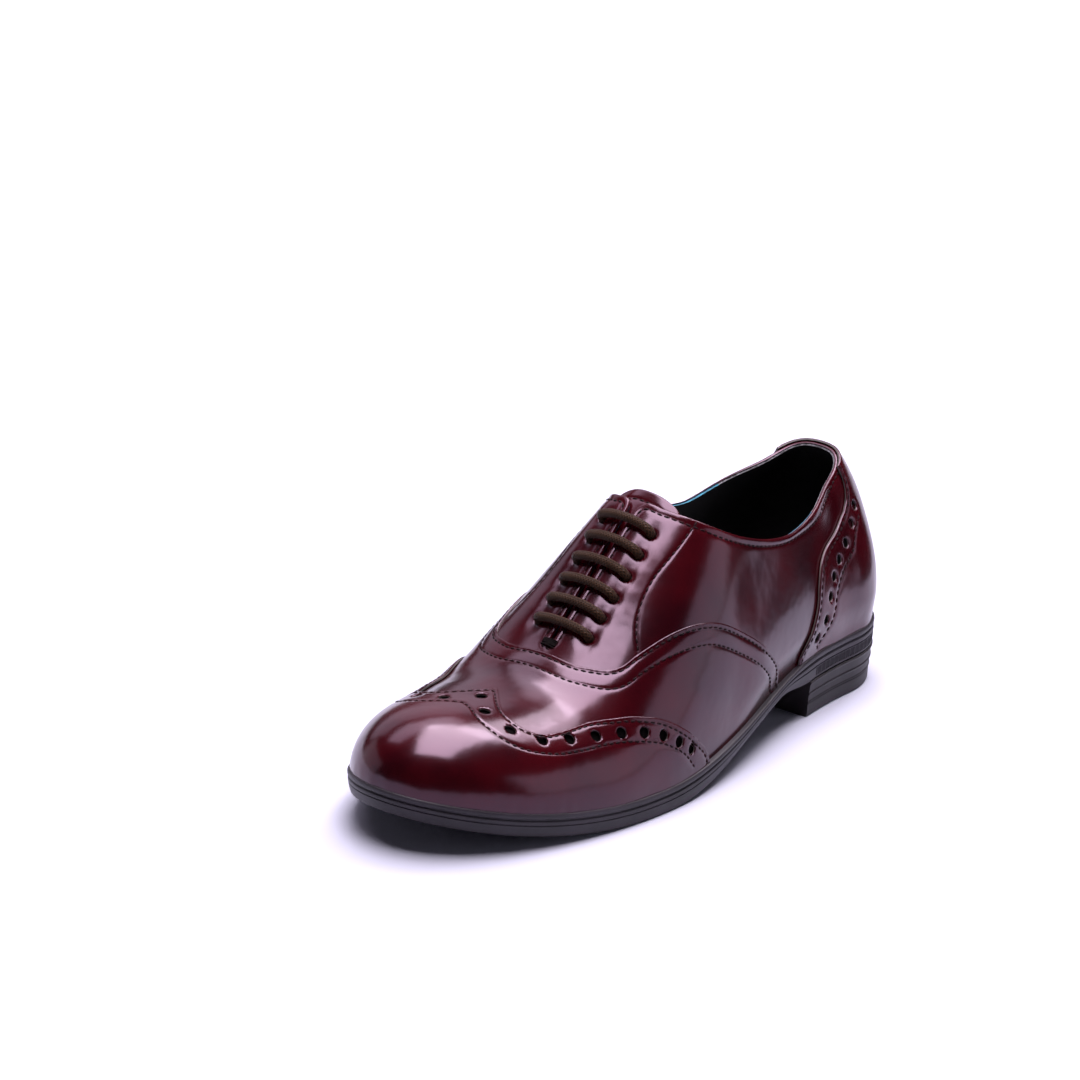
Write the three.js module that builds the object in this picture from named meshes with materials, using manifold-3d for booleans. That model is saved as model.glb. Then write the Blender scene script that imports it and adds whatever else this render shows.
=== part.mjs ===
// A low lace-up shoe for the left foot, with a wingtip cap and a heel counter laid over its upper.
// Millimetres. The origin lies on the floor under the centre of the heel. X runs to the toe,
// Y to the outer side of the foot, Z up.
import * as THREE from "three";
import Module from "manifold-3d";
import { mergeVertices } from "three/addons/utils/BufferGeometryUtils.js";
import { TessellateModifier } from "three/addons/modifiers/TessellateModifier.js";

const wasm = await Module();
wasm.setup();

// The last, at the feather line where the upper meets the sole.
const lastLength = 227; // centre of the heel to the tip of the toe
const heelBack = 30; // centre of the heel to its back
const heelHalf = 28.3; // half width at the centre of the heel
const outerHalf = 45.5; // spine to the outer side of the ball
const innerHalf = 44.4; // spine to the inner side of the ball
const outerBallAt = 128; // where the outer side is widest
const innerBallAt = 139; // where the inner side is widest
const innerWaistDip = 11; // how far the inner side draws in at the waist
const toeRoundness = 2.08; // exponent of the toe's outline
const heelRoundness = 2.2; // exponent of the heel's outline
const toeSwing = -3.5; // how far the toe's tip swings to the inner side
const swingFrom = 95; // where the swing starts
const instepHeight = 93; // feather line to the crest, at the highest station
const toeFanAt = 170; // ribs spread like a fan from here to the toe
const seatHeight = 23.3; // floor to the feather line under the heel
const ballHeight = 8.8; // floor to the feather line under the ball
const toeHeight = 21.7; // floor to the feather line at the toe's tip
const seatEnd = 20; // the seat is level up to here
const springFrom = 140; // the toe spring starts here

// Cross sections: place as a share of lastLength, crest height as a share of instepHeight,
// and the exponents of the plan curve and of the crown.
const sections = [
  { along: -0.13, crest: 0.777, plan: 1.42, crown: 2.2 },
  { along: 0.0, crest: 0.777, plan: 1.42, crown: 2.2 },
  { along: 0.176, crest: 1.062, plan: 2.62, crown: 2.2 },
  { along: 0.308, crest: 1.0, plan: 2.4, crown: 2.1 },
  { along: 0.44, crest: 0.848, plan: 2.25, crown: 2.0 },
  { along: 0.573, crest: 0.591, plan: 2.0, crown: 2.0 },
  { along: 0.705, crest: 0.351, plan: 2.26, crown: 2.0 },
  { along: 0.837, crest: 0.305, plan: 2.7, crown: 2.1 },
  { along: 0.947, crest: 0.294, plan: 3.0, crown: 2.1 },
  { along: 1.06, crest: 0.215, plan: 3.0, crown: 2.1 },
];

// Leather layers. Level 0 is the last's outer form, and each layer keeps the clearance to the next.
const clearance = 0.3;
const wallThickness = 1.7;
const vampStep = 0.8;
const overlayThickness = 1.0;
const tongueThickness = 1.8;
const wallTop = -1.0; // the quarters' outer face lies this far under the last's outer form
const wallBottom = wallTop - wallThickness;
const vampTop = wallTop + vampStep;
const capBottom = vampTop + clearance;
const counterBottom = wallTop + clearance;
const tongueTop = wallBottom - clearance - 0.25;

// The topline, seen from the side: heights over the floor.
const toplineBack = 91;
const toplineLow = 71;
const toplineLowAt = 41;
const toplineFront = 90.9;
const toplineFrontAt = 98;

// Lacing.
const laceRows = 6;
const laceSpacing = 6.5; // along the last
const firstLaceAt = 138;
const outerLaceHole = 12.4; // along the leather from the spine to a hole's centre, outer side
const innerLaceHole = 9.8; // and inner side
const laceDiameter = 3.2;
const laceHoleRadius = laceDiameter / 2 + 0.8;
const slitEnd = 143.5;
const slitWidthTop = 2.6;
const slitWidthEnd = 1.2;
const facingCorner = 5; // radius of the corners where the slit opens into the collar

// The tongue.
const tongueShow = 4; // how far its edge stands above the facings
const tongueHalfTop = 20;
const tongueHalfFoot = 15;

// Perforations.
const wingHoleRadius = 2.0;
const wingHoleSpacing = 10.8;
const peakHoleInset = 9; // from the peak of the cap's edge to its hole
const counterHoleRadius = 1.8;
const counterHoleSpacing = 11.5;

// The sole.
const seatEdge = 9.2; // thickness of the sole's edge over the heel
const waistEdge = 6.2; // at the waist
const ballEdge = 8.5; // and from the ball to the toe
const waistAt = 52; // where the edge is thinnest
const waistTuck = 1.6; // how far the sole's underside draws in at the waist
const toeTuck = 1.6; // and at the toe
const heelLip = 0.9; // how far the sole stands out of the last at the heel
const frontLip = 1.8; // and round the front
const breastAt = 29.5; // the heel's straight front face
const heelTaper = 1.2; // how far the heel draws in from the sole down to the floor
const topLiftHeight = 5;
const insoleThickness = 2.5;
const insoleClearance = 0.9; // between the insole's edge and the wall
const ribDepth = 0.45; // upright ribs in the sole's edge over the heel
const ribStep = 2.2;
const ribsFromBreast = 3;
const ribsFromBack = 6;

// Seams on the flattened leather: place as a share of lastLength, and distance from the spine
// as a share of the half girth at the ball.
const wingSeam = [
  { along: 0.749, across: 0.0 },
  { along: 0.79, across: 0.103 },
  { along: 0.81, across: 0.177 },
  { along: 0.811, across: 0.259 },
  { along: 0.794, across: 0.326 },
  { along: 0.761, across: 0.36 },
  { along: 0.7, across: 0.39 },
  { along: 0.652, across: 0.474 },
  { along: 0.615, across: 0.572 },
  { along: 0.58, across: 0.684 },
  { along: 0.543, across: 0.829 },
  { along: 0.511, across: 0.977 },
  { along: 0.488, across: 1.098 },
  { along: 0.466, across: 1.3 },
];
const vampSeam = [
  { along: 0.648, across: 0.0 },
  { along: 0.647, across: 0.145 },
  { along: 0.638, across: 0.231 },
  { along: 0.623, across: 0.308 },
  { along: 0.604, across: 0.355 },
  { along: 0.577, across: 0.387 },
  { along: 0.534, across: 0.451 },
  { along: 0.494, across: 0.532 },
  { along: 0.454, across: 0.631 },
  { along: 0.417, across: 0.733 },
  { along: 0.37, across: 0.883 },
  { along: 0.312, across: 1.069 },
  { along: 0.27, across: 1.218 },
  { along: 0.248, across: 1.33 },
  { along: 0.243, across: 1.4 },
  { along: 0.24, across: 1.6 },
];
const counterSeam = [
  { along: -0.03, across: 0.225 },
  { along: -0.04, across: 0.327 },
  { along: -0.025, across: 0.415 },
  { along: 0.011, across: 0.492 },
  { along: 0.065, across: 0.662 },
  { along: 0.102, across: 0.836 },
  { along: 0.12, across: 0.978 },
  { along: 0.128, across: 1.097 },
  { along: 0.144, across: 1.222 },
  { along: 0.166, across: 1.335 },
  { along: 0.17, across: 1.4 },
  { along: 0.175, across: 1.6 },
];

// The lines of the perforations, from the hole nearest the spine to the last one.
const wingHoleLine = [
  { along: 0.829, across: 0.108 },
  { along: 0.834, across: 0.2 },
  { along: 0.822, across: 0.295 },
  { along: 0.785, across: 0.375 },
  { along: 0.73, across: 0.428 },
  { along: 0.683, across: 0.482 },
  { along: 0.643, across: 0.567 },
  { along: 0.603, across: 0.68 },
  { along: 0.566, across: 0.81 },
  { along: 0.532, across: 0.945 },
];
const counterHoleLine = [
  { along: -0.056, across: 0.435 },
  { along: -0.016, across: 0.53 },
  { along: 0.022, across: 0.617 },
  { along: 0.05, across: 0.72 },
  { along: 0.074, across: 0.85 },
  { along: 0.091, across: 0.985 },
  { along: 0.103, across: 1.12 },
  { along: 0.119, across: 1.215 },
];

// The sole's edge, from the lip down: how far out of the lip line, as a share of the front lip,
// how far down, as a share of the edge's thickness, and whether the ribs over the heel cross it.
const soleEdgeRings = [
  { out: -0.08, down: 0.0, ribbed: false },
  { out: 0.06, down: 0.05, ribbed: false },
  { out: 0.06, down: 0.17, ribbed: false },
  { out: -0.2, down: 0.22, ribbed: false },
  { out: -0.2, down: 0.28, ribbed: false },
  { out: 0.0, down: 0.33, ribbed: false },
  { out: 0.0, down: 0.48, ribbed: false },
  { out: -0.16, down: 0.51, ribbed: false },
  { out: 0.0, down: 0.54, ribbed: true },
  { out: -0.04, down: 0.86, ribbed: true },
  { out: -0.1, down: 0.9, ribbed: false },
  { out: -0.4, down: 1.0, ribbed: false },
];

// The heel block, from the sole down: draw-in as a share of heelTaper, and depth as a share of
// the block's height.
const heelRings = [
  { draw: 0.6, down: 0.0 },
  { draw: 0.0, down: 0.04 },
  { draw: 0.2, down: 0.46 },
  { draw: 0.9, down: 0.52 },
  { draw: 0.3, down: 0.6 },
  { draw: 0.4, down: 0.74 },
  { draw: 0.95, down: 0.8 },
  { draw: 0.5, down: 0.88 },
  { draw: 0.55, down: 1.0 },
];

const smooth = (t) => {
  const c = THREE.MathUtils.clamp(t, 0, 1);
  return c * c * (3 - 2 * c);
};

// A value of the section table at x, on a curve that does not overshoot its rows.
function sectionAt(column, x) {
  const place = x / lastLength;
  const last = sections.length - 1;
  let i = 0;
  while (i < last - 1 && place > sections[i + 1].along) i += 1;
  const slope = (k) => {
    if (k < 0 || k >= last) return 0;
    return (sections[k + 1][column] - sections[k][column]) / (sections[k + 1].along - sections[k].along);
  };
  const tangent = (k) => {
    const before = slope(k - 1);
    const after = slope(k);
    return before * after <= 0 ? 0 : (2 * before * after) / (before + after);
  };
  const span = sections[i + 1].along - sections[i].along;
  const t = THREE.MathUtils.clamp((place - sections[i].along) / span, 0, 1);
  const a = sections[i][column];
  const b = sections[i + 1][column];
  return (
    a * (1 + 2 * t) * (1 - t) ** 2 +
    tangent(i) * span * t * (1 - t) ** 2 +
    b * t * t * (3 - 2 * t) -
    tangent(i + 1) * span * t * t * (1 - t)
  );
}

// Half width of the feather line at x, on the outer side (+1) or the inner side (-1).
function halfWidth(x, side) {
  const widest = side > 0 ? outerHalf : innerHalf;
  const widestAt = side > 0 ? outerBallAt : innerBallAt;
  const dip = side > 0 ? 0 : innerWaistDip;
  if (x < 0) {
    const u = Math.min(-x / heelBack, 1);
    return heelHalf * (1 - u ** heelRoundness) ** (1 / heelRoundness);
  }
  if (x > widestAt) {
    const v = Math.min((x - widestAt) / (lastLength - widestAt), 1);
    return widest * (1 - v ** toeRoundness) ** (1 / toeRoundness);
  }
  const t = x / widestAt;
  return heelHalf + (widest - heelHalf) * smooth(t) - dip * (4 * t * (1 - t)) ** 2;
}

// The spine's sideways place at x.
function swing(x) {
  const t = THREE.MathUtils.clamp((x - swingFrom) / (lastLength - swingFrom), 0, 1.2);
  return toeSwing * t * t;
}

// Height of the feather line at x.
function featherHeight(x) {
  const drop = smooth((x - seatEnd) / (outerBallAt + 8 - seatEnd));
  const spring = THREE.MathUtils.clamp((x - springFrom) / (lastLength - springFrom), 0, 1.2);
  return seatHeight + (ballHeight - seatHeight) * drop + (toeHeight - ballHeight) * spring ** 2;
}

// A rib runs over the last from a point of its spine to the feather line, in the plan direction
// (dirX, dirY).
function makeRib(spineX, dirX, dirY) {
  const side = dirY < 0 ? -1 : 1;
  let reach = halfWidth(spineX, side);
  if (dirX !== 0) {
    let inside = 0;
    let outside = lastLength;
    for (let i = 0; i < 26; i += 1) {
      reach = (inside + outside) / 2;
      const x = spineX + dirX * reach;
      const isIn = x > -heelBack && x < lastLength && Math.abs(dirY) * reach < halfWidth(x, side);
      if (isIn) inside = reach;
      else outside = reach;
    }
  }
  const mid = spineX + (dirX * reach) / 2;
  const plan = 2 / sectionAt("plan", mid);
  const crown = 2 / sectionAt("crown", mid);
  const point = (turn) => {
    const out = reach * Math.sin(turn) ** plan;
    const x = spineX + dirX * out;
    const up = instepHeight * sectionAt("crest", x) * Math.max(Math.cos(turn), 0) ** crown;
    return new THREE.Vector3(x, dirY * out + swing(x), featherHeight(x) + up);
  };
  const turns = [];
  const lengths = [0];
  const steps = 36;
  let previous = point(0);
  for (let i = 0; i <= steps; i += 1) {
    turns.push((i / steps) * (Math.PI / 2));
    if (i > 0) {
      const next = point(turns[i]);
      lengths.push(lengths[i - 1] + next.distanceTo(previous));
      previous = next;
    }
  }
  const girth = lengths[steps];
  const at = (length) => {
    if (length >= girth) {
      const foot = point(Math.PI / 2);
      foot.z -= length - girth;
      return foot;
    }
    let i = 0;
    while (i < steps - 1 && lengths[i + 1] < length) i += 1;
    const t = (length - lengths[i]) / (lengths[i + 1] - lengths[i]);
    return point(turns[i] + t * (turns[i + 1] - turns[i]));
  };
  return { girth, reach, at };
}

// A point of the flattened leather (x along the spine, y from it) laid on the last.
function layOnLast(x, y) {
  if (x >= 0 && x <= toeFanAt) return makeRib(x, 0, y < 0 ? -1 : 1).at(Math.abs(y));
  const spineX = x < 0 ? 0 : toeFanAt;
  const length = Math.hypot(x - spineX, y);
  if (length === 0) return makeRib(spineX, 0, 1).at(0);
  return makeRib(spineX, (x - spineX) / length, y / length).at(length);
}

// The same, raised by a level along the last's normal.
function wrap(x, y, level) {
  const d = 0.4;
  const along = layOnLast(x + d, y).sub(layOnLast(x - d, y));
  const across = layOnLast(x, y + d).sub(layOnLast(x, y - d));
  const normal = along.cross(across).normalize();
  return layOnLast(x, y).addScaledVector(normal, level);
}

const ballHalfGirth = makeRib(outerBallAt, 0, 1).girth;

// A closed geometry as a solid for joining and cutting, and back.
function solidOf(geometry) {
  const bare = new THREE.BufferGeometry();
  bare.setAttribute("position", geometry.getAttribute("position"));
  if (geometry.index) bare.setIndex(geometry.index);
  const merged = mergeVertices(bare, 1e-4);
  const index = merged.index.array;
  const kept = [];
  for (let i = 0; i < index.length; i += 3) {
    const [a, b, c] = [index[i], index[i + 1], index[i + 2]];
    if (a !== b && b !== c && c !== a) kept.push(a, b, c);
  }
  return new wasm.Manifold(
    new wasm.Mesh({
      numProp: 3,
      vertProperties: merged.attributes.position.array,
      triVerts: new Uint32Array(kept),
    }),
  );
}

function geometryOf(solid) {
  const mesh = solid.getMesh();
  const geometry = new THREE.BufferGeometry();
  geometry.setAttribute("position", new THREE.BufferAttribute(mesh.vertProperties, 3));
  geometry.setIndex(new THREE.BufferAttribute(mesh.triVerts, 1));
  return geometry;
}

// The ribs round the last, from the back of the heel by the outer side to the toe and back by the
// inner side. Each knows which point of the spine it starts from.
function ribLoop(fanCount, sideCount) {
  const ribs = [];
  const fan = (spineX, spine, from, to, side) => {
    const step = from < to ? 1 : -1;
    for (let i = from; i !== to; i += step) {
      const turn = ((i / fanCount) * Math.PI) / 2;
      const ahead = Math.cos(turn) * (spineX > 0 ? 1 : -1);
      ribs.push({ spine, rib: makeRib(spineX, ahead, side * Math.sin(turn)), dirX: ahead, side });
    }
  };
  const sides = (from, to, side) => {
    const step = from < to ? 1 : -1;
    for (let i = from; i !== to; i += step) {
      ribs.push({ spine: i, rib: makeRib((toeFanAt * i) / sideCount, 0, side), dirX: 0, side });
    }
  };
  fan(0, 0, 0, fanCount, 1);
  sides(0, sideCount + 1, 1);
  fan(toeFanAt, sideCount, fanCount - 1, -1, 1);
  fan(toeFanAt, sideCount, 1, fanCount, -1);
  sides(sideCount, -1, -1);
  fan(0, 0, fanCount - 1, 0, -1);
  return ribs;
}

// The last's outer form as a grid of points with their normals.
function lastGrid(fanCount, sideCount, rows) {
  const ribs = ribLoop(fanCount, sideCount);
  const points = [];
  for (let i = 0; i <= sideCount; i += 1) points.push(makeRib((toeFanAt * i) / sideCount, 0, 1).at(0));
  const numberOf = ribs.map(({ spine, rib }) => {
    const numbers = [spine];
    for (let j = 1; j <= rows; j += 1) {
      numbers.push(points.length);
      points.push(rib.at((rib.girth * j) / rows));
    }
    return numbers;
  });
  const faces = [];
  numberOf.forEach((here, i) => {
    const next = numberOf[(i + 1) % numberOf.length];
    for (let j = 0; j < rows; j += 1) {
      if (here[j] !== next[j]) faces.push([here[j], here[j + 1], next[j]]);
      faces.push([next[j], here[j + 1], next[j + 1]]);
    }
  });
  const surface = new THREE.BufferGeometry().setFromPoints(points);
  surface.setIndex(faces.flat());
  surface.computeVertexNormals();
  const rim = numberOf.map((numbers) => numbers[rows]);
  const onRim = new Set(rim);
  const normals = points.map((_, i) => {
    const normal = new THREE.Vector3().fromBufferAttribute(surface.attributes.normal, i);
    if (onRim.has(i)) normal.setZ(0);
    return normal.normalize();
  });
  // The faces run from the outer side over the spine, so they look outward or inward together.
  const outward = normals[0].z > 0 ? 1 : -1;
  return { points, normals: normals.map((n) => n.multiplyScalar(outward)), faces, rim, outward };
}

const fanRibs = 8;
const sideRibs = 18;
const grid = lastGrid(fanRibs, sideRibs, 10);

// A shell of the last between two levels.
function shell(bottom, top) {
  const count = grid.points.length;
  const raised = (level) => grid.points.map((p, i) => p.clone().addScaledVector(grid.normals[i], level));
  const points = [...raised(top), ...raised(bottom)];
  const index = [];
  const outward = (a, b, c) => (grid.outward > 0 ? index.push(a, b, c) : index.push(a, c, b));
  grid.faces.forEach(([a, b, c]) => {
    outward(a, b, c);
    outward(a + count, c + count, b + count);
  });
  grid.rim.forEach((a, i) => {
    const b = grid.rim[(i + 1) % grid.rim.length];
    outward(a, a + count, b);
    outward(b, a + count, b + count);
  });
  const geometry = new THREE.BufferGeometry().setFromPoints(points);
  geometry.setIndex(index);
  return solidOf(geometry);
}

// A shape drawn on the flattened leather, as a solid bent over the last between two levels.
function bentSolid(shape, bottom, top, longestEdge) {
  const flat = new THREE.ExtrudeGeometry(shape, { depth: top - bottom, bevelEnabled: false });
  flat.deleteAttribute("uv");
  flat.deleteAttribute("normal");
  const fine = mergeVertices(new TessellateModifier(longestEdge, 14).modify(flat), 1e-4);
  const position = fine.getAttribute("position");
  for (let i = 0; i < position.count; i += 1) {
    const bent = wrap(position.getX(i), position.getY(i), bottom + position.getZ(i));
    position.setXYZ(i, bent.x, bent.y, bent.z);
  }
  return solidOf(fine);
}

// A seam as points on the flattened leather, on the outer side (+1) or the inner side (-1).
function seamPoints(rows, side, count) {
  const knots = rows.map((row) => new THREE.Vector2(row.along * lastLength, row.across * ballHalfGirth));
  const points = new THREE.SplineCurve(knots).getSpacedPoints(count);
  return points.map((p) => new THREE.Vector2(p.x, side * p.y));
}

// Centres of perforations, evenly spread along a line on one side of the shoe.
function holesAlong(rows, side, spacing) {
  const line = seamPoints(rows, 1, 160);
  const length = line.slice(1).reduce((sum, point, i) => sum + point.distanceTo(line[i]), 0);
  return seamPoints(rows, side, Math.max(1, Math.round(length / spacing)));
}

function holePath(centre, radius, sides) {
  const points = [];
  for (let i = 0; i < sides; i += 1) {
    const turn = (2 * Math.PI * i) / sides;
    points.push(new THREE.Vector2(centre.x + radius * Math.cos(turn), centre.y + radius * Math.sin(turn)));
  }
  return new THREE.Path(points);
}

// A round hole through the laid leather. Laying stretches and shears the flattened leather, so the
// hole is drawn there with the opposite distortion.
function punchPath(centre, radius, sides) {
  const d = 0.5;
  const along = layOnLast(centre.x + d, centre.y).sub(layOnLast(centre.x - d, centre.y));
  const across = layOnLast(centre.x, centre.y + d).sub(layOnLast(centre.x, centre.y - d));
  const stretch = along.length() / (2 * d);
  const shear = along.dot(across) / (4 * d * d) / stretch;
  const rise = Math.sqrt(across.lengthSq() / (4 * d * d) - shear * shear);
  const points = holePath(new THREE.Vector2(), radius, sides).getPoints();
  return new THREE.Path(
    points.map((p) => {
      const y = p.y / rise;
      return new THREE.Vector2(centre.x + (p.x - shear * y) / stretch, centre.y + y);
    }),
  );
}

const pastFeather = 1.6 * ballHalfGirth;
const pastToe = lastLength * 1.3;
const pastHeel = -pastFeather;
const throughBottom = wallBottom - 1.5;
const throughTop = capBottom + overlayThickness + 1.5;

// Everything in front of a seam, to past the toe and the feather line.
function inFrontOf(rows) {
  const outer = seamPoints(rows, 1, 26);
  const inner = seamPoints(rows, -1, 26).reverse();
  inner.pop();
  return new THREE.Shape([
    ...inner,
    ...outer,
    new THREE.Vector2(pastToe, pastFeather),
    new THREE.Vector2(pastToe, -pastFeather),
  ]);
}

// Everything behind the counter's seams, to past the back and the feather line.
function behindCounter() {
  const outer = seamPoints(counterSeam, 1, 20).reverse();
  const inner = seamPoints(counterSeam, -1, 20);
  return new THREE.Shape([
    ...outer,
    ...inner,
    new THREE.Vector2(pastHeel, -pastFeather),
    new THREE.Vector2(pastHeel, pastFeather),
  ]);
}

// The slit between the facings, opening with round corners into the collar.
function slitShape() {
  const topAt = toplineFrontAt + facingCorner;
  const points = [];
  const corner = (side) => {
    const out = [];
    for (let i = 0; i <= 5; i += 1) {
      const turn = ((i / 5) * Math.PI) / 2;
      const x = topAt - facingCorner * Math.sin(turn);
      const y = slitWidthTop / 2 + facingCorner * (1 - Math.cos(turn));
      out.push(new THREE.Vector2(x, side * y));
    }
    return out;
  };
  points.push(new THREE.Vector2(slitEnd, slitWidthEnd / 2));
  points.push(...corner(1));
  points.push(new THREE.Vector2(toplineFrontAt - 2 * facingCorner, slitWidthTop / 2 + facingCorner));
  points.push(new THREE.Vector2(toplineFrontAt - 2 * facingCorner, -slitWidthTop / 2 - facingCorner));
  points.push(...corner(-1).reverse());
  points.push(new THREE.Vector2(slitEnd, -slitWidthEnd / 2));
  return new THREE.Shape(points);
}

// Height of the topline at x.
function toplineHeight(x) {
  if (x < toplineLowAt) {
    const u = (toplineLowAt - x) / (toplineLowAt + heelBack);
    return toplineLow + (toplineBack - toplineLow) * u ** 1.8;
  }
  const w = (x - toplineLowAt) / (toplineFrontAt - toplineLowAt);
  return toplineLow + (toplineFront - toplineLow) * w ** 1.6;
}

// Everything above the topline, straight across the shoe.
function aboveTopline() {
  const ceiling = instepHeight + seatHeight + 40;
  const from = -heelBack - 12;
  const to = toplineFrontAt + 18;
  const points = [new THREE.Vector2(to, ceiling), new THREE.Vector2(from, ceiling)];
  const steps = 26;
  for (let i = 0; i <= steps; i += 1) {
    const x = from + ((to - from) * i) / steps;
    points.push(new THREE.Vector2(x, toplineHeight(x)));
  }
  const across = 2 * (outerHalf + innerHalf);
  const block = new THREE.ExtrudeGeometry(new THREE.Shape(points), { depth: across, bevelEnabled: false });
  block.rotateX(Math.PI / 2);
  block.translate(0, across / 2, 0);
  return solidOf(block);
}

const topline = aboveTopline();
const slit = bentSolid(slitShape(), throughBottom, throughTop, 7);
const laceXs = Array.from({ length: laceRows }, (_, i) => firstLaceAt - i * laceSpacing);

function makeUpper() {
  const wall = shell(wallBottom, wallTop);
  const step = shell(wallTop - 0.6 * wallThickness, vampTop);
  const vamp = step.intersect(bentSolid(inFrontOf(vampSeam), throughBottom, throughTop, 13));
  let upper = wall.add(vamp).subtract(topline).subtract(slit);
  for (const x of laceXs) {
    for (const side of [1, -1]) {
      const across = side > 0 ? outerLaceHole : -innerLaceHole;
      const path = holePath(new THREE.Vector2(x, across), laceHoleRadius, 8);
      const drill = bentSolid(new THREE.Shape(path.getPoints()), throughBottom, throughTop, 13);
      upper = upper.subtract(drill);
    }
  }
  return upper;
}

function makeCap() {
  const shape = inFrontOf(wingSeam);
  const peak = new THREE.Vector2(wingSeam[0].along * lastLength + peakHoleInset, 0);
  shape.holes.push(punchPath(peak, wingHoleRadius, 8));
  for (const side of [1, -1]) {
    const holes = holesAlong(wingHoleLine, side, wingHoleSpacing);
    for (const centre of holes) shape.holes.push(punchPath(centre, wingHoleRadius, 8));
  }
  return shell(capBottom, capBottom + overlayThickness).intersect(
    bentSolid(shape, throughBottom, throughTop, 13),
  );
}

function makeCounter() {
  const shape = behindCounter();
  for (const side of [1, -1]) {
    const holes = holesAlong(counterHoleLine, side, counterHoleSpacing);
    for (const centre of holes) shape.holes.push(punchPath(centre, counterHoleRadius, 7));
  }
  return shell(counterBottom, counterBottom + overlayThickness)
    .intersect(bentSolid(shape, throughBottom, throughTop, 13))
    .subtract(topline);
}

// The tongue lies under the facings, and its edge shows above them.
function makeTongue() {
  const topAt = toplineFrontAt - tongueShow;
  const footAt = slitEnd + 5;
  const corner = 5;
  const shape = new THREE.Shape();
  shape.moveTo(footAt, -tongueHalfFoot);
  shape.lineTo(footAt, tongueHalfFoot);
  shape.lineTo(topAt + corner, tongueHalfTop);
  shape.quadraticCurveTo(topAt, tongueHalfTop, topAt, tongueHalfTop - corner);
  shape.lineTo(topAt, corner - tongueHalfTop);
  shape.quadraticCurveTo(topAt, -tongueHalfTop, topAt + corner, -tongueHalfTop);
  shape.closePath();
  return bentSolid(shape, tongueTop - tongueThickness, tongueTop, 11);
}

// The plan outline of the feather line, with the outward direction at each point.
function outline(fanCount, sideCount) {
  const ribs = ribLoop(fanCount, sideCount);
  const points = ribs.map(({ rib }) => rib.at(rib.girth));
  return points.map((p, i) => {
    const before = points[(i + points.length - 1) % points.length];
    const after = points[(i + 1) % points.length];
    const out = new THREE.Vector2(-(after.y - before.y), after.x - before.x).normalize();
    return { x: p.x, y: p.y, z: p.z, out };
  });
}

// Rings stacked from top to bottom, closed at both ends by rungs between the two sides of a ring.
// A ring starts where its sides meet, or runs from the end of one side to the end of the other.
function loft(rings) {
  const count = rings[0].length;
  const area = rings[0].reduce((sum, p, i) => {
    const q = rings[0][(i + 1) % count];
    return sum + p.x * q.y - q.x * p.y;
  }, 0);
  const stack = area > 0 ? rings.map((ring) => [...ring].reverse()) : rings;
  const index = [];
  for (let r = 0; r + 1 < stack.length; r += 1) {
    for (let i = 0; i < count; i += 1) {
      const a = r * count + i;
      const b = r * count + ((i + 1) % count);
      index.push(a, b, a + count, b, b + count, a + count);
    }
  }
  const top = (a, b, c) => index.push(a, c, b);
  const lowest = (stack.length - 1) * count;
  const bottom = (a, b, c) => index.push(lowest + a, lowest + b, lowest + c);
  for (const face of [top, bottom]) {
    let low = 0;
    let high = count - 1;
    while (high - low > 1) {
      face(low, low + 1, high);
      low += 1;
      if (high - low > 1) {
        face(low, high - 1, high);
        high -= 1;
      }
    }
  }
  const geometry = new THREE.BufferGeometry().setFromPoints(stack.flat());
  geometry.setIndex(index);
  return geometry;
}

const edgeAt = (x) => {
  const thinning = (seatEdge - waistEdge) * smooth((x - breastAt) / (waistAt - breastAt));
  const filling = (ballEdge - waistEdge) * smooth((x - waistAt) / (outerBallAt - waistAt));
  return seatEdge - thinning + filling;
};
const tuckAt = (x) => {
  const waist = smooth((x - breastAt) / (waistAt - breastAt)) * smooth((outerBallAt - x) / waistAt);
  return waistTuck * waist + toeTuck * smooth((x - innerBallAt) / (lastLength - innerBallAt));
};
const lipAt = (x) => heelLip + (frontLip - heelLip) * smooth((x - seatEnd) / 70);
const soleBottomAt = (x) => Math.max(featherHeight(x) - clearance - edgeAt(x), 0);

// The sole's outline from the back of the heel by the outer side to the toe and back again. It is
// fine round the heel, where every second point of the panel is a valley between ribs.
function soleLine() {
  const heel = heelLine(ribStep).map((p, i, all) => {
    const fromBreast = Math.min(i, all.length - 1 - i) * ribStep;
    const fromBack = Math.abs(i - (all.length - 1) / 2) * ribStep;
    return { ...p, valley: i % 2 === 1 && fromBreast > ribsFromBreast && fromBack > ribsFromBack };
  });
  const back = (heel.length - 1) / 2;
  const front = outline(10, 20).filter((p) => p.x > breastAt + ribStep);
  return [...heel.slice(0, back + 1).reverse(), ...front, ...heel.slice(back + 1).reverse()];
}

function makeOutsole() {
  const line = soleLine();
  const rings = soleEdgeRings.map(({ out, down, ribbed }) =>
    line.map((p) => {
      const dip = ribbed && p.valley ? ribDepth : 0;
      const grow = lipAt(p.x) + out * frontLip - tuckAt(p.x) * down ** 2 - dip;
      const top = featherHeight(p.x) - clearance;
      const z = top - (top - soleBottomAt(p.x)) * down;
      return new THREE.Vector3(p.x + p.out.x * grow, p.y + p.out.y * grow, z);
    }),
  );
  return loft(rings);
}

function makeInsole() {
  const line = outline(fanRibs, sideRibs);
  const inset = insoleClearance - wallBottom;
  const ring = (up) =>
    line.map((p) => new THREE.Vector3(p.x - p.out.x * inset, p.y - p.out.y * inset, p.z + up));
  return loft([ring(insoleThickness), ring(0)]);
}

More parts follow.
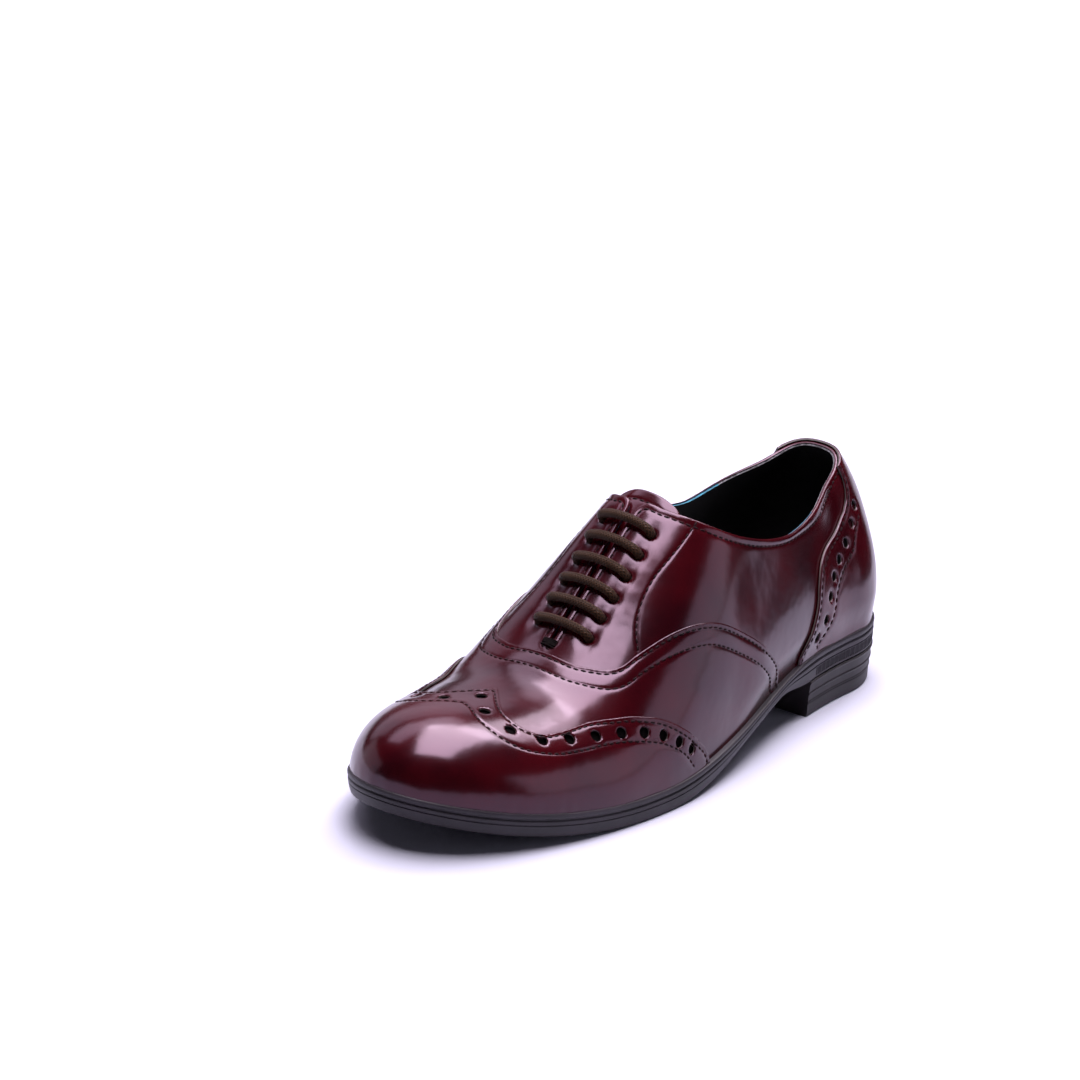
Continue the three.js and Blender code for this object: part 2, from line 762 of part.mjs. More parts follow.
// The heel's outline from the outer end of its breast round the back to the inner end.
function heelLine(step) {
  const points = [];
  const straight = Math.round(breastAt / step);
  const turns = Math.round((heelHalf * Math.PI) / 2 / step);
  for (let i = straight; i > 0; i -= 1) points.push(makeRib((breastAt * i) / straight, 0, 1));
  for (let i = turns; i >= 0; i -= 1) {
    const turn = ((i / turns) * Math.PI) / 2;
    points.push(makeRib(0, -Math.cos(turn), Math.sin(turn)));
  }
  for (let i = 1; i <= turns; i += 1) {
    const turn = ((i / turns) * Math.PI) / 2;
    points.push(makeRib(0, -Math.cos(turn), -Math.sin(turn)));
  }
  for (let i = 1; i <= straight; i += 1) points.push(makeRib((breastAt * i) / straight, 0, -1));
  const feet = points.map((rib) => rib.at(rib.girth));
  return feet.map((p, i) => {
    const before = feet[Math.max(i - 1, 0)];
    const after = feet[Math.min(i + 1, feet.length - 1)];
    const out = new THREE.Vector2(after.y - before.y, -(after.x - before.x)).normalize();
    if (i === 0 || i === feet.length - 1) out.setX(0).normalize();
    return { x: p.x, y: p.y, out };
  });
}

function heelRing(line, grow, heightAt) {
  return line.map((p) => new THREE.Vector3(p.x + p.out.x * grow, p.y + p.out.y * grow, heightAt(p.x)));
}

function makeHeelBlock() {
  const line = heelLine(2 * ribStep);
  const floor = topLiftHeight + clearance;
  const rings = heelRings.map(({ draw, down }) => {
    const height = (x) => {
      const top = soleBottomAt(x) - clearance;
      return top + (floor - top) * down;
    };
    return heelRing(line, heelLip - draw * heelTaper, height);
  });
  return loft(rings);
}

function makeTopLift() {
  const line = heelLine(3 * ribStep);
  const grow = heelLip - 0.55 * heelTaper;
  const chamfer = 0.5;
  return loft([
    heelRing(line, grow, () => topLiftHeight),
    heelRing(line, grow, () => chamfer),
    heelRing(line, grow - chamfer, () => 0),
  ]);
}

// One bar of lace from hole to hole over the slit, its ends turned down into the holes.
function makeLaceBar(x) {
  const lift = wallTop + clearance + laceDiameter / 2;
  const path = [
    { across: 0.975, level: wallTop - 1.2 },
    { across: 0.965, level: wallTop + 0.2 },
    { across: 0.9, level: wallTop + 1.5 },
    { across: 0.73, level: lift + 0.15 },
    { across: 0.3, level: lift + 0.2 },
  ];
  const half = path.map(({ across, level }) => wrap(x, -across * innerLaceHole, level));
  const other = path.map(({ across, level }) => wrap(x, across * outerLaceHole, level)).reverse();
  const curve = new THREE.CatmullRomCurve3([...half, ...other]);
  const section = new THREE.Shape();
  for (let i = 0; i < 8; i += 1) {
    const turn = (2 * Math.PI * i) / 8;
    const [u, v] = [(laceDiameter / 2) * Math.cos(turn), (laceDiameter / 2) * Math.sin(turn)];
    if (i === 0) section.moveTo(u, v);
    else section.lineTo(u, v);
  }
  section.closePath();
  return new THREE.ExtrudeGeometry(section, { steps: 10, extrudePath: curve, bevelEnabled: false });
}

const leather = { color: 0x4a0d18, roughness: 0.2, metalness: 0 };
const looks = {
  leather,
  sole: { color: 0x2b2a2c, roughness: 0.6, metalness: 0 },
  heel: { color: 0x2d2624, roughness: 0.55, metalness: 0 },
  lining: { color: 0x141316, roughness: 0.9, metalness: 0 },
  lace: { color: 0x2e271c, roughness: 0.7, metalness: 0 },
};

const shoe = new THREE.Group();

function add(name, geometry, look) {
  const mesh = new THREE.Mesh(geometry, new THREE.MeshStandardMaterial(looks[look]));
  mesh.name = name;
  shoe.add(mesh);
}

add("outsole", makeOutsole(), "sole");
add("heel_block", makeHeelBlock(), "heel");
add("top_lift", makeTopLift(), "heel");
add("insole", makeInsole(), "lining");
add("upper", geometryOf(makeUpper()), "leather");
add("wingtip_cap", geometryOf(makeCap()), "leather");
add("heel_counter", geometryOf(makeCounter()), "leather");
add("tongue", geometryOf(makeTongue()), "leather");
laceXs.forEach((x, i) => add(`lace_bar_${i + 1}`, makeLaceBar(x), "lace"));

export default shoe;
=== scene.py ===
# A low lace-up shoe for the left foot, dressed for its picture. Blender 4.5.
# Lengths are millimetres until a mesh is made. The origin lies on the floor under the centre of
# the heel, X runs to the toe, Y to the outer side of the foot, Z up.
import math

import bpy
import numpy as np
from mathutils import Matrix, Vector
from mathutils.geometry import delaunay_2d_cdt
from mathutils.kdtree import KDTree


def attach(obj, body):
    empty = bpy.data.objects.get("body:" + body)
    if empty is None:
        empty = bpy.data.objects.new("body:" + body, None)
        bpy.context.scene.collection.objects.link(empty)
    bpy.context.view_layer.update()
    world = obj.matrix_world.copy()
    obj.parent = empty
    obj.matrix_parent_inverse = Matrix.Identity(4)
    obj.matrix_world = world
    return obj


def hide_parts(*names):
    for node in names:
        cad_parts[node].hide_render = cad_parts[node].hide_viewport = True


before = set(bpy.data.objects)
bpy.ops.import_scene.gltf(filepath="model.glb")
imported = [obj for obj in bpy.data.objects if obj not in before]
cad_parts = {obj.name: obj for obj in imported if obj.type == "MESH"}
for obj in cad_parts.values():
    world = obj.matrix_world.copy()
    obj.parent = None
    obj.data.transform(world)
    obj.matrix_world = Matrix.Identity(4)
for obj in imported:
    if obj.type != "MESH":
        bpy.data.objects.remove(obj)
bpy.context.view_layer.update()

MM = 0.001

# The last, with the values of the solids.
LAST_LENGTH = 227
HEEL_BACK = 30
HEEL_HALF = 28.3
OUTER_HALF = 45.5
INNER_HALF = 44.4
OUTER_BALL_AT = 128
INNER_BALL_AT = 139
INNER_WAIST_DIP = 11
TOE_ROUNDNESS = 2.08
HEEL_ROUNDNESS = 2.2
TOE_SWING = -3.5
SWING_FROM = 95
INSTEP_HEIGHT = 93
TOE_FAN_AT = 170
SEAT_HEIGHT = 23.3
BALL_HEIGHT = 8.8
TOE_HEIGHT = 21.7
SEAT_END = 20
SPRING_FROM = 140

# Cross sections: place as a share of the last's length, crest height as a share of the instep's,
# and the exponents of the plan curve and of the crown.
SECTION_COLUMNS = ("along", "crest", "plan", "crown")
SECTIONS = np.array([
    (-0.13, 0.777, 1.42, 2.2),
    (0.0, 0.777, 1.42, 2.2),
    (0.176, 1.062, 2.62, 2.2),
    (0.308, 1.0, 2.4, 2.1),
    (0.44, 0.848, 2.25, 2.0),
    (0.573, 0.591, 2.0, 2.0),
    (0.705, 0.351, 2.26, 2.0),
    (0.837, 0.305, 2.7, 2.1),
    (0.947, 0.294, 3.0, 2.1),
    (1.06, 0.215, 3.0, 2.1),
])

# Leather layers, as levels over the last's outer form.
WALL_TOP = -1.0
WALL_BOTTOM = -2.7
VAMP_TOP = -0.2
CAP_TOP = 1.1
CAP_BOTTOM = 0.1
COUNTER_TOP = 0.3
COUNTER_BOTTOM = -0.7
TONGUE_TOP = -3.25
TONGUE_BOTTOM = -5.05
LEATHER_THICK = 0.9

# The stiffened sides: how far they stand out low down and draw in above, over which distances from
# the feather line, and where that fades: round the back of the heel (an angle) and to the front.
SIDE_SWELL = 1.8
SIDE_DRAW_IN = 3.4
SWELL_OVER = 12
DRAW_IN_FROM = 14
DRAW_IN_OVER = 36
SWELL_FADE_TURN = 1.2
SWELL_FRONT_AT = 95
SWELL_FADE = 25

# The topline's heights over the floor, seen from the side.
TOPLINE_BACK = 91
TOPLINE_LOW = 71
TOPLINE_LOW_AT = 41
TOPLINE_FRONT = 90.9
TOPLINE_FRONT_AT = 98

# Lacing.
LACE_ROWS = 6
LACE_SPACING = 6.5
FIRST_LACE_AT = 138
OUTER_LACE_HOLE = 12.4
INNER_LACE_HOLE = 9.8
LACE_DIAMETER = 3.2
LACE_HOLE_RADIUS = 1.75
SLIT_END = 143.5
SLIT_WIDTH_TOP = 2.6
SLIT_WIDTH_END = 1.2
FACING_CORNER = 5
TONGUE_SHOW = 4
TONGUE_HALF_TOP = 20
TONGUE_HALF_FOOT = 15

# Perforations and stitches.
WING_HOLE_RADIUS = 2.0
WING_HOLE_SPACING = 10.8
PEAK_HOLE_INSET = 9
COUNTER_HOLE_RADIUS = 1.8
COUNTER_HOLE_SPACING = 11.5
EDGE_ROW_INSET = 1.3
COLLAR_ROW_INSET = 2.2
STITCH_PITCH = 2.65
STITCH_LENGTH = 2.1
STITCH_RISE = 0.3
STITCH_LIFT = 0.1
THREAD_RADIUS = 0.4
TACK_STITCHES = 5
TACK_PITCH = 0.45
TACK_WIDTH = 5.6
TACK_THREAD_RADIUS = 0.34
TACK_RISE = 1.1
GROOVE_WIDTH = 0.75
GROOVE_DEPTH = 0.22
HOLE_EDGE_RADIUS = 0.35

# The sole and the heel.
CLEARANCE = 0.3
SEAT_EDGE = 9.2
WAIST_EDGE = 6.2
BALL_EDGE = 8.5
WAIST_AT = 52
WAIST_TUCK = 1.6
TOE_TUCK = 1.6
HEEL_LIP = 0.9
FRONT_LIP = 1.8
BREAST_AT = 29.5
HEEL_TAPER = 1.2
TOP_LIFT_HEIGHT = 5
INSOLE_THICKNESS = 2.5
RIB_PITCH = 1.5
RIB_DEPTH = 0.85
RIBS_FROM_BREAST = 3
RIBS_FROM_BACK = 6

# Seams on the flattened leather: place as a share of the last's length, and distance from the
# spine as a share of the half girth at the ball.
WING_SEAM = [
    (0.749, 0.0), (0.79, 0.103), (0.81, 0.177), (0.811, 0.259), (0.794, 0.326), (0.761, 0.36),
    (0.7, 0.39), (0.652, 0.474), (0.615, 0.572), (0.58, 0.684), (0.543, 0.829), (0.511, 0.977),
    (0.488, 1.098), (0.466, 1.3),
]
VAMP_SEAM = [
    (0.648, 0.0), (0.647, 0.145), (0.638, 0.231), (0.623, 0.308), (0.604, 0.355), (0.577, 0.387),
    (0.534, 0.451), (0.494, 0.532), (0.454, 0.631), (0.417, 0.733), (0.37, 0.883), (0.312, 1.069),
    (0.27, 1.218), (0.248, 1.33), (0.243, 1.4), (0.24, 1.6),
]
COUNTER_SEAM = [
    (-0.03, 0.225), (-0.04, 0.327), (-0.025, 0.415), (0.011, 0.492), (0.065, 0.662),
    (0.102, 0.836), (0.12, 0.978), (0.128, 1.097), (0.144, 1.222), (0.166, 1.335), (0.17, 1.4),
    (0.175, 1.6),
]
# The lines of the perforations, and rows of stitches that follow no edge.
WING_HOLE_LINE = [
    (0.829, 0.108), (0.834, 0.2), (0.822, 0.295), (0.785, 0.375), (0.73, 0.428),
    (0.683, 0.482), (0.643, 0.567), (0.603, 0.68), (0.566, 0.81), (0.532, 0.945),
]
COUNTER_HOLE_LINE = [
    (-0.056, 0.435), (-0.016, 0.53), (0.022, 0.617), (0.05, 0.72), (0.074, 0.85),
    (0.091, 0.985), (0.103, 1.12), (0.119, 1.215),
]
WING_ROW = [
    (0.83, 0.0), (0.841, 0.064), (0.856, 0.134), (0.86, 0.22), (0.852, 0.301), (0.828, 0.375),
    (0.789, 0.438), (0.745, 0.474), (0.699, 0.504), (0.659, 0.568), (0.619, 0.671),
    (0.584, 0.782), (0.55, 0.915), (0.527, 1.035),
]
FACING_ROW = [
    (0.409, 0.303), (0.442, 0.298), (0.466, 0.288), (0.494, 0.271), (0.514, 0.268),
    (0.533, 0.277), (0.549, 0.296), (0.562, 0.329), (0.572, 0.372),
]
COUNTER_ROW = [
    (-0.063, 0.488), (-0.005, 0.616), (0.037, 0.732), (0.064, 0.877), (0.077, 1.011),
    (0.092, 1.129), (0.113, 1.254),
]
VAMP_ROW_INSET = 5.6


def smooth(t):
    c = np.clip(t, 0, 1)
    return c * c * (3 - 2 * c)


# The section table as fine curves, with the knots of each column blended over a few millimetres
# so that reflections run on without a break.
CURVE_STEP = 0.1
CURVE_X = np.arange(-80, 320, CURVE_STEP)
KNOT_BLEND = 4.0


def section_curve(column):
    along, value = SECTIONS[:, 0] * LAST_LENGTH, SECTIONS[:, column]
    slope = np.diff(value) / np.diff(along)
    before, after = slope[:-1], slope[1:]
    total = np.where(before + after == 0, 1, before + after)
    tangent = np.zeros(len(value))
    tangent[1:-1] = np.where(before * after > 0, 2 * before * after / total, 0)
    i = np.clip(np.searchsorted(along, CURVE_X, side="right") - 1, 0, len(along) - 2)
    span = along[i + 1] - along[i]
    t = np.clip((CURVE_X - along[i]) / span, 0, 1)
    curve = (
        value[i] * (1 + 2 * t) * (1 - t) ** 2
        + tangent[i] * span * t * (1 - t) ** 2
        + value[i + 1] * t * t * (3 - 2 * t)
        - tangent[i + 1] * span * t * t * (1 - t)
    )
    reach = int(4 * KNOT_BLEND / CURVE_STEP)
    weights = np.exp(-0.5 * (np.arange(-reach, reach + 1) * CURVE_STEP / KNOT_BLEND) ** 2)
    return np.convolve(np.pad(curve, reach, mode="edge"), weights / weights.sum(), mode="valid")


CURVES = {name: section_curve(i) for i, name in enumerate(SECTION_COLUMNS) if i > 0}


def section(name, x):
    return np.interp(x, CURVE_X, CURVES[name])


def half_width(x, side):
    """Half width of the feather line at x, on the outer side (+1) or the inner side (-1)."""
    outer = side > 0
    widest = np.where(outer, OUTER_HALF, INNER_HALF)
    widest_at = np.where(outer, OUTER_BALL_AT, INNER_BALL_AT)
    dip = np.where(outer, 0.0, INNER_WAIST_DIP)
    u = np.clip(-x / HEEL_BACK, 0, 1)
    heel = HEEL_HALF * (1 - u**HEEL_ROUNDNESS) ** (1 / HEEL_ROUNDNESS)
    v = np.clip((x - widest_at) / (LAST_LENGTH - widest_at), 0, 1)
    toe = widest * (1 - v**TOE_ROUNDNESS) ** (1 / TOE_ROUNDNESS)
    t = np.clip(x / widest_at, 0, 1)
    waist = HEEL_HALF + (widest - HEEL_HALF) * smooth(t) - dip * (4 * t * (1 - t)) ** 2
    return np.where(x < 0, heel, np.where(x > widest_at, toe, waist))


def swing(x):
    """The spine's sideways place at x."""
    t = np.clip((x - SWING_FROM) / (LAST_LENGTH - SWING_FROM), 0, 1.2)
    return TOE_SWING * t * t


def feather_height(x):
    drop = smooth((x - SEAT_END) / (OUTER_BALL_AT + 8 - SEAT_END))
    spring = np.clip((x - SPRING_FROM) / (LAST_LENGTH - SPRING_FROM), 0, 1.2)
    return SEAT_HEIGHT + (BALL_HEIGHT - SEAT_HEIGHT) * drop + (TOE_HEIGHT - BALL_HEIGHT) * spring**2


# A rib runs over the last from a point of its spine to the feather line, in the plan direction
# (dir_x, dir_y). Its length is measured in equal turns.
RIB_TURNS = np.linspace(0, math.pi / 2, 37)


def rib_reach(spine_x, dir_x, dir_y):
    side = np.where(dir_y < 0, -1.0, 1.0)
    inside = np.zeros_like(spine_x)
    outside = np.full_like(spine_x, float(LAST_LENGTH))
    for _ in range(30):
        middle = (inside + outside) / 2
        x = spine_x + dir_x * middle
        is_in = (x > -HEEL_BACK) & (x < LAST_LENGTH) & (np.abs(dir_y) * middle < half_width(x, side))
        inside = np.where(is_in, middle, inside)
        outside = np.where(is_in, outside, middle)
    return np.where(dir_x == 0, half_width(spine_x, side), (inside + outside) / 2)


def rib_point(spine_x, dir_x, dir_y, reach, turn):
    middle = spine_x + dir_x * reach / 2
    out = reach * np.sin(turn) ** (2 / section("plan", middle))
    x = spine_x + dir_x * out
    crown = np.maximum(np.cos(turn), 0) ** (2 / section("crown", middle))
    z = feather_height(x) + INSTEP_HEIGHT * section("crest", x) * crown
    return np.stack([x, dir_y * out + swing(x), z], -1)


def rib_lengths(spine_x, dir_x, dir_y, reach):
    """Lengths along ribs, from the spine to each turn."""
    column = [a[:, None] for a in (spine_x, dir_x, dir_y, reach)]
    table = rib_point(*column, RIB_TURNS[None, :])
    steps = np.linalg.norm(np.diff(table, axis=1), axis=2)
    return np.concatenate([np.zeros((len(steps), 1)), np.cumsum(steps, axis=1)], axis=1)


def girths(spine_x, dir_x, dir_y):
    """Lengths along ribs, from the spine to the feather line."""
    spine_x, dir_x, dir_y = np.broadcast_arrays(spine_x, dir_x, dir_y)
    return rib_lengths(spine_x, dir_x, dir_y, rib_reach(spine_x, dir_x, dir_y))[:, -1]


def ribs_through(x, y):
    """The rib of each point of the flattened leather, and the point's length along it."""
    spine_x = np.clip(x, 0, TOE_FAN_AT).astype(float)
    length = np.hypot(x - spine_x, y)
    safe = np.where(length == 0, 1, length)
    dir_x = np.where(length == 0, 0, (x - spine_x) / safe)
    dir_y = np.where(length == 0, 1, y / safe)
    return spine_x, dir_x, dir_y, length


def lay_on_last(x, y):
    """Points of the flattened leather (x along the spine, y from it) laid on the last."""
    laid = np.empty((len(x), 3))
    for start in range(0, len(x), 20000):
        part = slice(start, start + 20000)
        spine_x, dir_x, dir_y, length = ribs_through(x[part], y[part])
        reach = rib_reach(spine_x, dir_x, dir_y)
        lengths = rib_lengths(spine_x, dir_x, dir_y, reach)
        row = np.arange(len(length))
        i = np.clip((lengths <= length[:, None]).sum(1) - 1, 0, len(RIB_TURNS) - 2)
        share = (length - lengths[row, i]) / (lengths[row, i + 1] - lengths[row, i])
        turn = RIB_TURNS[i] + np.clip(share, 0, 1) * RIB_TURNS[1]
        laid[part] = rib_point(spine_x, dir_x, dir_y, reach, turn)
        laid[part, 2] -= np.maximum(length - lengths[:, -1], 0)
    return laid


def wrap(flat, level_of):
    """Points of the flattened leather raised over the last by their level, with their normals,
    which come from the slopes of the last and of the level over two short steps."""
    x, y = flat[:, 0], flat[:, 1]
    d, e = 0.4, 0.15
    beside_x = np.concatenate([x, x + d, x - d, x, x])
    beside_y = np.concatenate([y, y, y, y + d, y - d])
    laid = lay_on_last(beside_x, beside_y).reshape(5, len(x), 3)
    along = (laid[1] - laid[2]) / (2 * d)
    across = (laid[3] - laid[4]) / (2 * d)
    base = np.cross(along, across)
    base /= np.linalg.norm(base, axis=1)[:, None]
    rise_x = (level_of(flat + (e, 0)) - level_of(flat - (e, 0))) / (2 * e)
    rise_y = (level_of(flat + (0, e)) - level_of(flat - (0, e))) / (2 * e)
    aa, ab, bb = (along**2).sum(1), (along * across).sum(1), (across**2).sum(1)
    size = aa * bb - ab**2
    up_x = (rise_x * bb - rise_y * ab) / size
    up_y = (rise_y * aa - rise_x * ab) / size
    normal = base - along * up_x[:, None] - across * up_y[:, None]
    normal /= np.linalg.norm(normal, axis=1)[:, None]
    return laid[0] + base * level_of(flat)[:, None], normal


BALL_HALF_GIRTH = float(girths(np.array([float(OUTER_BALL_AT)]), 0.0, 1.0)[0])


# Lines on the flattened leather.
def curve_through(knots, steps):
    """A smooth curve through knots, with a number of steps from each knot to the next."""
    last = len(knots) - 1
    t = np.linspace(0, last, last * steps + 1)
    i = np.minimum(t.astype(int), last - 1)
    w = (t - i)[:, None]
    p0, p1, p2 = knots[np.maximum(i - 1, 0)], knots[i], knots[i + 1]
    p3 = knots[np.minimum(i + 2, last)]
    v0, v1 = (p2 - p0) / 2, (p3 - p1) / 2
    cubic = 2 * p1 - 2 * p2 + v0 + v1
    square = 3 * p2 - 3 * p1 - 2 * v0 - v1
    return cubic * w**3 + square * w**2 + v0 * w + p1


def spaced(line, step):
    """A line as points a step apart."""
    walked = np.concatenate([[0], np.cumsum(np.linalg.norm(np.diff(line, axis=0), axis=1))])
    count = max(int(round(walked[-1] / step)), 1)
    places = np.linspace(0, walked[-1], count + 1)
    return np.stack([np.interp(places, walked, line[:, k]) for k in (0, 1)], -1)


def seam(rows, step=1.0):
    """A table of shares as a smooth line on the outer side."""
    return spaced(curve_through(np.array(rows) * (LAST_LENGTH, BALL_HALF_GIRTH), 40), step)


def mirrored(line):
    return line * (1, -1)


def both_sides(line):
    """A line that starts at the spine, run from past the inner side to past the outer side."""
    return np.concatenate([mirrored(line)[::-1][:-1], line])


def beside(line, distance):
    """A line moved sideways, to the right of its run where the distance is above 0."""
    run = np.gradient(line, axis=0)
    run /= np.linalg.norm(run, axis=1)[:, None]
    moved = line + np.stack([run[:, 1], -run[:, 0]], -1) * distance
    return moved[distance_to(moved, [line]) > abs(distance) * 0.97]


def distance_to(points, lines):
    """Distance from each point to the nearest of some lines."""
    nearest = np.full(len(points), 1e9)
    for line in lines:
        a, b = line[:-1], line[1:]
        run = b - a
        square = np.maximum((run**2).sum(1), 1e-12)
        for start in range(0, len(points), 4000):
            p = points[start : start + 4000, None, :]
            t = np.clip(((p - a) * run).sum(2) / square, 0, 1)
            gap = np.linalg.norm(p - a - run * t[:, :, None], axis=2).min(1)
            part = nearest[start : start + 4000]
            np.minimum(part, gap, out=part)
    return nearest


def inside(points, polygon):
    """Which points lie in a closed polygon."""
    found = np.zeros(len(points), bool)
    a, b = polygon, np.roll(polygon, -1, axis=0)
    drop = np.where(a[:, 1] == b[:, 1], 1, b[:, 1] - a[:, 1])
    for start in range(0, len(points), 4000):
        x, y = points[start : start + 4000, 0, None], points[start : start + 4000, 1, None]
        edge_x = a[:, 0] + (b[:, 0] - a[:, 0]) * (y - a[:, 1]) / drop
        crosses = ((a[:, 1] > y) != (b[:, 1] > y)) & (x < edge_x)
        found[start : start + 4000] = crosses.sum(1) % 2 == 1
    return found


FAR = 1.6 * BALL_HALF_GIRTH


def in_front_of(line):
    """Everything from a seam, given from the inner side to the outer side, to past the toe."""
    return np.concatenate([line, [(LAST_LENGTH * 1.3, FAR), (LAST_LENGTH * 1.3, -FAR)]])


def behind(line):
    """Everything from a seam, given from the inner side to the outer side, to past the heel."""
    return np.concatenate([line, [(-FAR, FAR), (-FAR, -FAR)]])


def feather_loop(past):
    """The feather line round the shoe, and a little past it, on the flattened leather."""
    quarter = np.linspace(0, math.pi / 2, 60)
    sides = np.linspace(0, TOE_FAN_AT, 110)
    spine_x = np.concatenate([np.zeros(60), sides, np.full(59, float(TOE_FAN_AT))])
    dir_x = np.concatenate([-np.cos(quarter), np.zeros(110), np.sin(quarter[1:])])
    dir_x[59] = 0
    dir_y = np.sqrt(np.maximum(1 - dir_x**2, 0))
    girth = girths(spine_x, dir_x, dir_y) + past
    outer = np.stack([spine_x + dir_x * girth, dir_y * girth], -1)
    girth = girths(spine_x, dir_x, -dir_y - 1e-12) + past
    inner = np.stack([spine_x + dir_x * girth, -dir_y * girth], -1)
    return np.concatenate([outer, inner[::-1][1:-1]])


def level(value):
    return lambda flat: np.full(len(flat), float(value))


def topline_height(x):
    u = np.clip((TOPLINE_LOW_AT - x) / (TOPLINE_LOW_AT + HEEL_BACK), 0, 2)
    w = np.clip((x - TOPLINE_LOW_AT) / (TOPLINE_FRONT_AT - TOPLINE_LOW_AT), 0, 2)
    back = TOPLINE_LOW + (TOPLINE_BACK - TOPLINE_LOW) * u**1.8
    front = TOPLINE_LOW + (TOPLINE_FRONT - TOPLINE_LOW) * w**1.6
    return np.where(x < TOPLINE_LOW_AT, back, front)


def topline(side):
    """The topline on one side, from the facing's corner to the back of the heel."""
    turns = np.linspace(math.pi / 2, 0, 40)[1:]
    spine_x = np.concatenate([np.linspace(TOPLINE_FRONT_AT - 0.4, 0, 90), np.zeros(39)])
    dir_x = np.concatenate([np.zeros(90), -np.cos(turns)])
    dir_y = side * np.concatenate([np.ones(90), np.sin(turns)])
    lengths = np.linspace(0.5, 95, 190)
    flat = np.stack([
        spine_x[:, None] + dir_x[:, None] * lengths,
        dir_y[:, None] * lengths,
    ], -1)
    laid, _ = wrap(flat.reshape(-1, 2), level(WALL_TOP))
    laid = laid.reshape(len(spine_x), len(lengths), 3)
    over = laid[:, :, 2] - topline_height(laid[:, :, 0])
    points = []
    for i, row in enumerate(over):
        k = int(np.argmax(row < 0))
        if k == 0:
            continue
        length = lengths[k - 1] + (lengths[k] - lengths[k - 1]) * row[k - 1] / (row[k - 1] - row[k])
        points.append((spine_x[i] + dir_x[i] * length, dir_y[i] * length))
    line = np.array(points)
    corner = SLIT_WIDTH_TOP / 2 + FACING_CORNER
    at_front = line[:, 0] > TOPLINE_LOW_AT
    return line[np.abs(line[:, 1]) > np.where(at_front, corner, 0.5)]


def collar_half(side):
    """Half of the collar's edge: up the slit, round the facing's corner, along the topline."""
    top_at = TOPLINE_FRONT_AT + FACING_CORNER
    turn = np.linspace(0, math.pi / 2, 12)
    corner = np.stack([
        top_at - FACING_CORNER * np.sin(turn),
        side * (SLIT_WIDTH_TOP / 2 + FACING_CORNER * (1 - np.cos(turn))),
    ], -1)
    start = np.array([(SLIT_END, side * SLIT_WIDTH_END / 2)])
    return np.concatenate([start, corner, topline(side)])


OUTER_COLLAR = collar_half(1)
INNER_COLLAR = collar_half(-1)
BACK_POINT = (min(OUTER_COLLAR[:, 0].min(), INNER_COLLAR[:, 0].min()), 0.0)
COLLAR = np.concatenate([
    spaced(np.concatenate([OUTER_COLLAR, [BACK_POINT]]), 1.0),
    spaced(np.concatenate([[BACK_POINT], INNER_COLLAR[::-1]]), 1.0)[1:],
])
COLLAR_CLOSED = np.concatenate([COLLAR, COLLAR[:1]])
FEATHER = feather_loop(0.25)
WING = both_sides(seam(WING_SEAM))
VAMP = both_sides(seam(VAMP_SEAM))
COUNTER = np.concatenate([mirrored(seam(COUNTER_SEAM))[::-1], seam(COUNTER_SEAM)])
LACE_XS = [FIRST_LACE_AT - i * LACE_SPACING for i in range(LACE_ROWS)]
LACE_HOLES = np.array(
    [(x, OUTER_LACE_HOLE) for x in LACE_XS] + [(x, -INNER_LACE_HOLE) for x in LACE_XS]
)


def holes_along(rows, spacing):
    """Centres of perforations, evenly spread along a line, on both sides of the shoe."""
    centres = spaced(seam(rows, 0.05), spacing)
    return np.concatenate([centres, mirrored(centres)])


WING_HOLES = np.concatenate([
    [(WING_SEAM[0][0] * LAST_LENGTH + PEAK_HOLE_INSET, 0.0)],
    holes_along(WING_HOLE_LINE, WING_HOLE_SPACING),
])
COUNTER_HOLES = holes_along(COUNTER_HOLE_LINE, COUNTER_HOLE_SPACING)

# Rows of stitches, as lines on the flattened leather.
WING_EDGE_ROW = beside(WING, EDGE_ROW_INSET)
WING_INNER_ROW = both_sides(seam(WING_ROW))
VAMP_EDGE_ROW = beside(VAMP, EDGE_ROW_INSET)
VAMP_INNER_ROW = beside(VAMP, VAMP_ROW_INSET)
COUNTER_EDGE_ROWS = [
    beside(seam(COUNTER_SEAM), -EDGE_ROW_INSET),
    beside(mirrored(seam(COUNTER_SEAM)), EDGE_ROW_INSET),
]
COLLAR_ROW = beside(COLLAR_CLOSED, COLLAR_ROW_INSET)
COUNTER_INNER_ROWS = [seam(COUNTER_ROW), mirrored(seam(COUNTER_ROW))]
FACING_ROWS = [seam(FACING_ROW), mirrored(seam(FACING_ROW))]


def stretch_at(centre):
    """Stretch and shear of the leather when it is laid at a point: the matrix that turns a step on
    the flattened leather into a true one."""
    d = 0.5
    x, y = centre
    laid = lay_on_last(np.array([x + d, x - d, x, x]), np.array([y, y, y + d, y - d]))
    along, across = (laid[0] - laid[1]) / (2 * d), (laid[2] - laid[3]) / (2 * d)
    length = np.linalg.norm(along)
    shear = along @ across / length
    return np.array([(length, shear), (0.0, math.sqrt(across @ across - shear**2))])


def punched(holes):
    """Perforations with the stretch at each one, so that they come out round."""
    return [(np.array(centre), stretch_at(centre)) for centre in holes]


def ring_round(hole, radius):
    """A ring round a perforation, round once it is laid."""
    centre, stretch = hole
    turn = np.linspace(0, 2 * math.pi, 24, endpoint=False)
    return centre + radius * np.stack([np.cos(turn), np.sin(turn)], -1) @ np.linalg.inv(stretch).T


def from_centre(points, hole):
    """True distance of points from a perforation's centre."""
    centre, stretch = hole
    return np.linalg.norm((points - centre) @ stretch.T, axis=1)


def trough(distance, width, depth):
    return -depth * np.exp(-((distance / width) ** 2))


def rounded(distance, radius):
    """How far an edge's rounding lowers the leather at a distance from the edge."""
    d = np.clip(distance, 0, radius)
    return np.sqrt(np.maximum(radius**2 - (radius - d) ** 2, 0)) - radius


